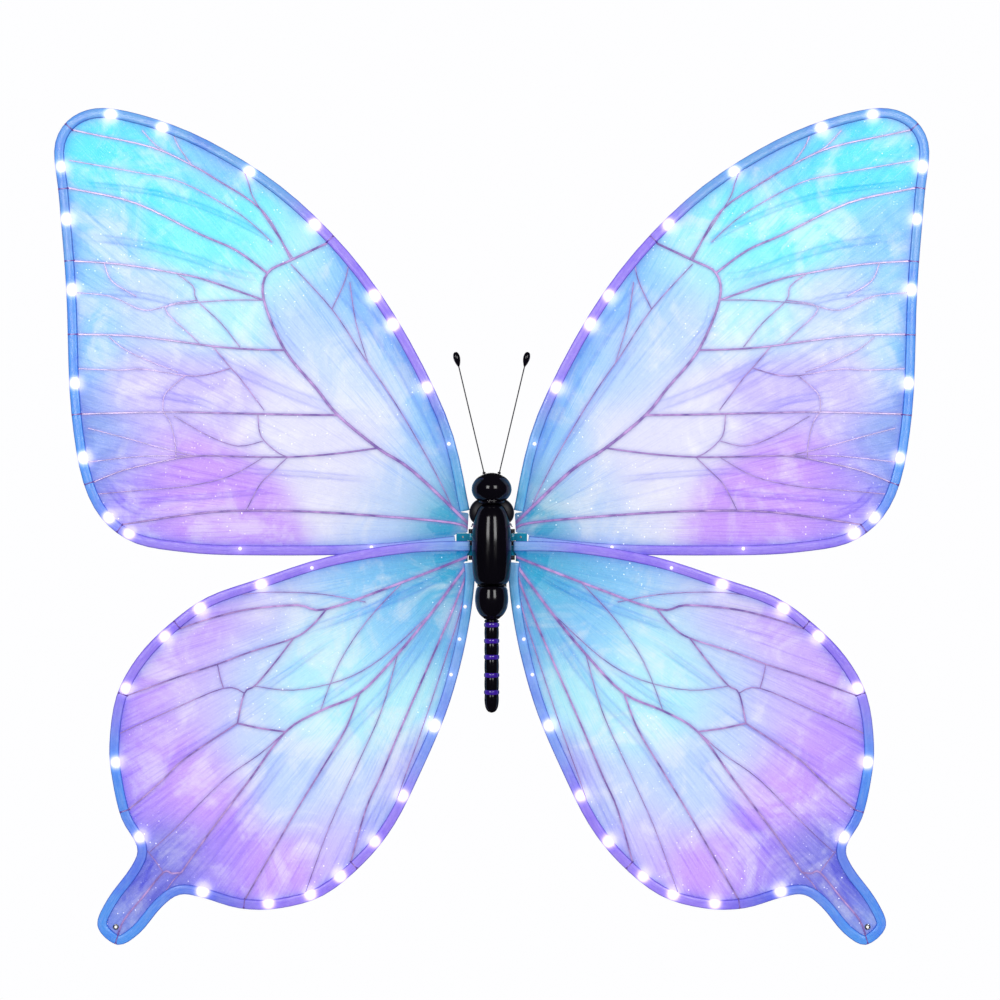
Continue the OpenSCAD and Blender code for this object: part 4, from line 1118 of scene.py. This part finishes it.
def make_straps(mat):
    for side_name, side in SIDES:
        lo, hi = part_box(f"{side_name}_strap")
        x_mid, half_w = (lo.x + hi.x) / 2, (hi.x - lo.x) / 2
        line, s = resample(smooth_line(STRAP_LINE, 8), 2.2)
        d = np.gradient(line, axis=0)
        d /= np.linalg.norm(d, axis=1)[:, None]
        verts, weave, edge, faces, sides = [], [], [], [], 28
        for i in range(len(line)):
            across = np.array([-d[i][1], d[i][0]])
            cup = 0.25 * noise.noise(Vector((s[i] * 0.03, side, 0)))
            for a in angles(sides):
                u, v = squared(math.cos(a), 0.45), squared(math.sin(a), 0.9)
                lift = (0.56 * v + cup * (u * u - 0.5)) * MM
                fray = 1 - 0.015 * abs(noise.noise(Vector((s[i] * 0.1, 2, side))))
                verts.append((x_mid + u * half_w * fray,
                              line[i][0] * MM + across[0] * lift, line[i][1] * MM + across[1] * lift))
                weave.append((s[i] * MM, u * half_w, 0))
                edge.append(abs(u))
        wrap(faces, len(line), sides)
        obj = new_object(f"{side_name}_shoulder_elastic", verts, faces, mat["elastic"])
        fix_normals(obj)
        set_vector(obj, "weave", weave)
        set_float(obj, "edge", edge)
        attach(obj, "hub")
        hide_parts(f"{side_name}_strap")

        # Two rows of stitches just outside each slot of the plate
        verts, faces = [], []
        for at in (-8.5, -5.5):
            for z, way in ((30.2, 1), (-38.6, -1)):
                for k in range(5):
                    x0 = x_mid + (-4.6 + 2.1 * k) * MM
                    base = z + (0.75 if way > 0 else -0.75) + (0.02 * (at + 8))
                    low, high = (base - way * 0.35) * MM, (base + way * 0.02) * MM
                    arch = [(x0 + dx * MM, at * MM, z_at)
                            for dx, z_at in ((0, low), (0.3, high), (1.1, high), (1.4, low))]
                    tube_parts(smooth_line(arch, 3), STITCH_R, 6, verts, faces)
        seam = new_object(f"{side_name}_strap_stitches", verts, faces, mat["stitch"])
        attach(seam, "hub")


def make_pad(mat):
    lo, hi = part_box("back_pad")
    size, mid = hi - lo, (hi + lo) / 2
    bm = bmesh.new()
    bmesh.ops.create_cube(bm, size=1)
    for v in bm.verts:
        v.co = Vector((v.co.x * (size.x - 0.004), v.co.y * (size.y - 0.004), v.co.z * (size.z - 0.004)))
    upright = [e for e in bm.edges if abs((e.verts[0].co - e.verts[1].co).y) > 0.002]
    bmesh.ops.bevel(bm, geom=upright, offset=0.007, segments=5, affect="EDGES", profile=0.5)
    rims = [e for e in bm.edges if e.is_manifold and e.calc_face_angle(0) > 1.2]
    bmesh.ops.bevel(bm, geom=rims, offset=0.0025, segments=3, affect="EDGES", profile=0.5)
    mesh = bpy.data.meshes.new("back_pad_cushion")
    bm.to_mesh(mesh)
    bm.free()
    pad = bpy.data.objects.new("back_pad_cushion", mesh)
    bpy.context.scene.collection.objects.link(pad)
    rm = pad.modifiers.new("remesh", "REMESH")
    rm.mode, rm.voxel_size, rm.use_smooth_shade = "VOXEL", 0.0016, True
    bake_modifiers(pad)
    rest = np.array([v.co for v in pad.data.vertices])
    cloth = pad.modifiers.new("cloth", "CLOTH")
    cloth.settings.effector_weights.gravity = 0
    cloth.settings.use_pressure = True
    cloth.settings.uniform_pressure_force = 4
    cloth.settings.quality = 5
    cloth.point_cache.frame_start, cloth.point_cache.frame_end = 1, CLOTH_FRAMES
    for f in range(1, CLOTH_FRAMES + 1):
        bpy.context.scene.frame_set(f)
    bake_modifiers(pad)
    move = np.array([v.co for v in pad.data.vertices]) - rest
    far = np.linalg.norm(move, axis=1)
    move *= (np.minimum(far, PAD_PUFF) / np.maximum(far, 1e-9))[:, None]
    pad.data.vertices.foreach_set("co", (rest + move).ravel())
    bpy.context.scene.frame_set(1)
    co = np.array([v.co for v in pad.data.vertices])
    half = np.array(size) / 2
    # Two sewn channels across the pad, on the wearer's side, and a flat face against the plate
    for z in (-0.009, 0.009):
        dip = np.exp(-((co[:, 2] - z) / 0.0011) ** 2) * (np.abs(co[:, 0]) < half[0] - 0.004)
        co[:, 1] -= np.where(co[:, 1] > 0, dip * 0.0022, 0)
    co[:, 1] = np.clip(co[:, 1], -half[1] + 0.0001, half[1])
    co += np.array(mid)
    pad.data.vertices.foreach_set("co", co.ravel())
    pad.data.materials.clear()
    pad.data.materials.append(mat["foam"].m)
    sub = pad.modifiers.new("sub", "SUBSURF")
    sub.levels = sub.render_levels = 1
    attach(pad, "hub")
    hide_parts("back_pad")

    # Piping round the front and back rims
    ring = []
    w, h, r = size.x / 2 - 0.0012, size.z / 2 - 0.0012, 0.0078
    for cx, cz, a0 in ((w - r, h - r, 0), (-w + r, h - r, 90), (-w + r, -h + r, 180), (w - r, -h + r, 270)):
        for k in range(9):
            a = math.radians(a0 + 90 * k / 8)
            ring.append((mid.x + cx + r * math.cos(a), mid.z + cz + r * math.sin(a)))
    ring, _ = resample(np.array(ring + ring[:1]), 0.0015)
    verts, faces = [], []
    sides = 10
    for y in (lo.y + 0.0016, hi.y - 0.0024):
        base = len(verts)
        n = len(ring) - 1
        for i in range(n):
            d = ring[(i + 1) % n] - ring[i - 1]
            d /= np.linalg.norm(d)
            out = np.array([d[1], -d[0]])
            for a in angles(sides):
                p = ring[i] + out * PIPING_R * math.cos(a)
                verts.append((p[0], y + PIPING_R * math.sin(a), p[1]))
        for i in range(n):
            for k in range(sides):
                j, q = (k + 1) % sides, (i + 1) % n
                a, b = base + i * sides, base + q * sides
                faces.append((a + k, a + j, b + j, b + k))
    piping = new_object("pad_piping", verts, faces, mat["binding"])
    fix_normals(piping)
    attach(piping, "hub")


def bake_modifiers(obj):
    deps = bpy.context.evaluated_depsgraph_get()
    mesh = bpy.data.meshes.new_from_object(obj.evaluated_get(deps))
    obj.modifiers.clear()
    old = obj.data
    obj.data = mesh
    bpy.data.meshes.remove(old)


def make_leads(mat):
    for side_name, side in SIDES:
        line, s = resample(smooth_line(LEAD_LINE, 8), 0.5)
        verts, faces = [], []
        for strand_and_highlight_streak in (0, math.pi):
            path = []
            for i, p in enumerate(line):
                a = s[i] * 0.9 + strand_and_highlight_streak
                path.append((side * (p[0] + 0.42 * math.cos(a)) * MM, (p[1] + 0.2 * math.sin(a)) * MM,
                             (p[2] + 0.42 * math.sin(a)) * MM))
            tube_parts(path, LEAD_R, 8, verts, faces)
        obj = new_object(f"{side_name}_lead_pair", verts, faces, mat["wire"])
        fix_normals(obj)
        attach(obj, "hub")
        if side > 0:
            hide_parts("lead_wires")


def dress_cad(mat):
    """Materials and rounded edges for the CAD nodes that stay."""
    plan = {
        "harness_plate": ("black_plastic", 0.0005), "battery_box": ("black_plastic", 0.0007),
        "battery_door": ("black_plastic", 0.0003), "chassis": ("black_plastic", 0.0003),
        "power_button": ("violet_gloss", 0.0004), "harness_screws": ("steel", 0.0002),
        "chassis_screws": ("steel", 0.0002), "door_pin": ("steel", 0.0001),
        "battery_cells": ("cell_jacket", 0.0004),
        "battery_contacts": ("steel", 0.0001), "circuit_board": ("circuit_board", 0.0001),
        "hinge_washers": ("steel", 0.00008)}
    for s, _ in SIDES:
        plan.update({f"{s}_adjuster": ("black_plastic", 0.0005), f"{s}_hinge_pin": ("steel", 0.0002),
                     f"{s}_wing_bracket": ("teal_plastic", 0.0003), f"{s}_wing_rivets": ("steel", 0.00025),
                     f"{s}_wing_gussets": ("gusset", 0.0002), f"{s}_tail_eyelet": ("steel", 0.00015)})
    for node, (name, width) in plan.items():
        paint(node, mat[name])
        bevel(node, width)


make_stage()
mat = make_materials()
for side_name, side in SIDES:
    for which in ("fore", "hind"):
        make_wing(side_name, side, which, mat)
make_body(mat)
make_straps(mat)
make_pad(mat)
make_leads(mat)
dress_cad(mat)
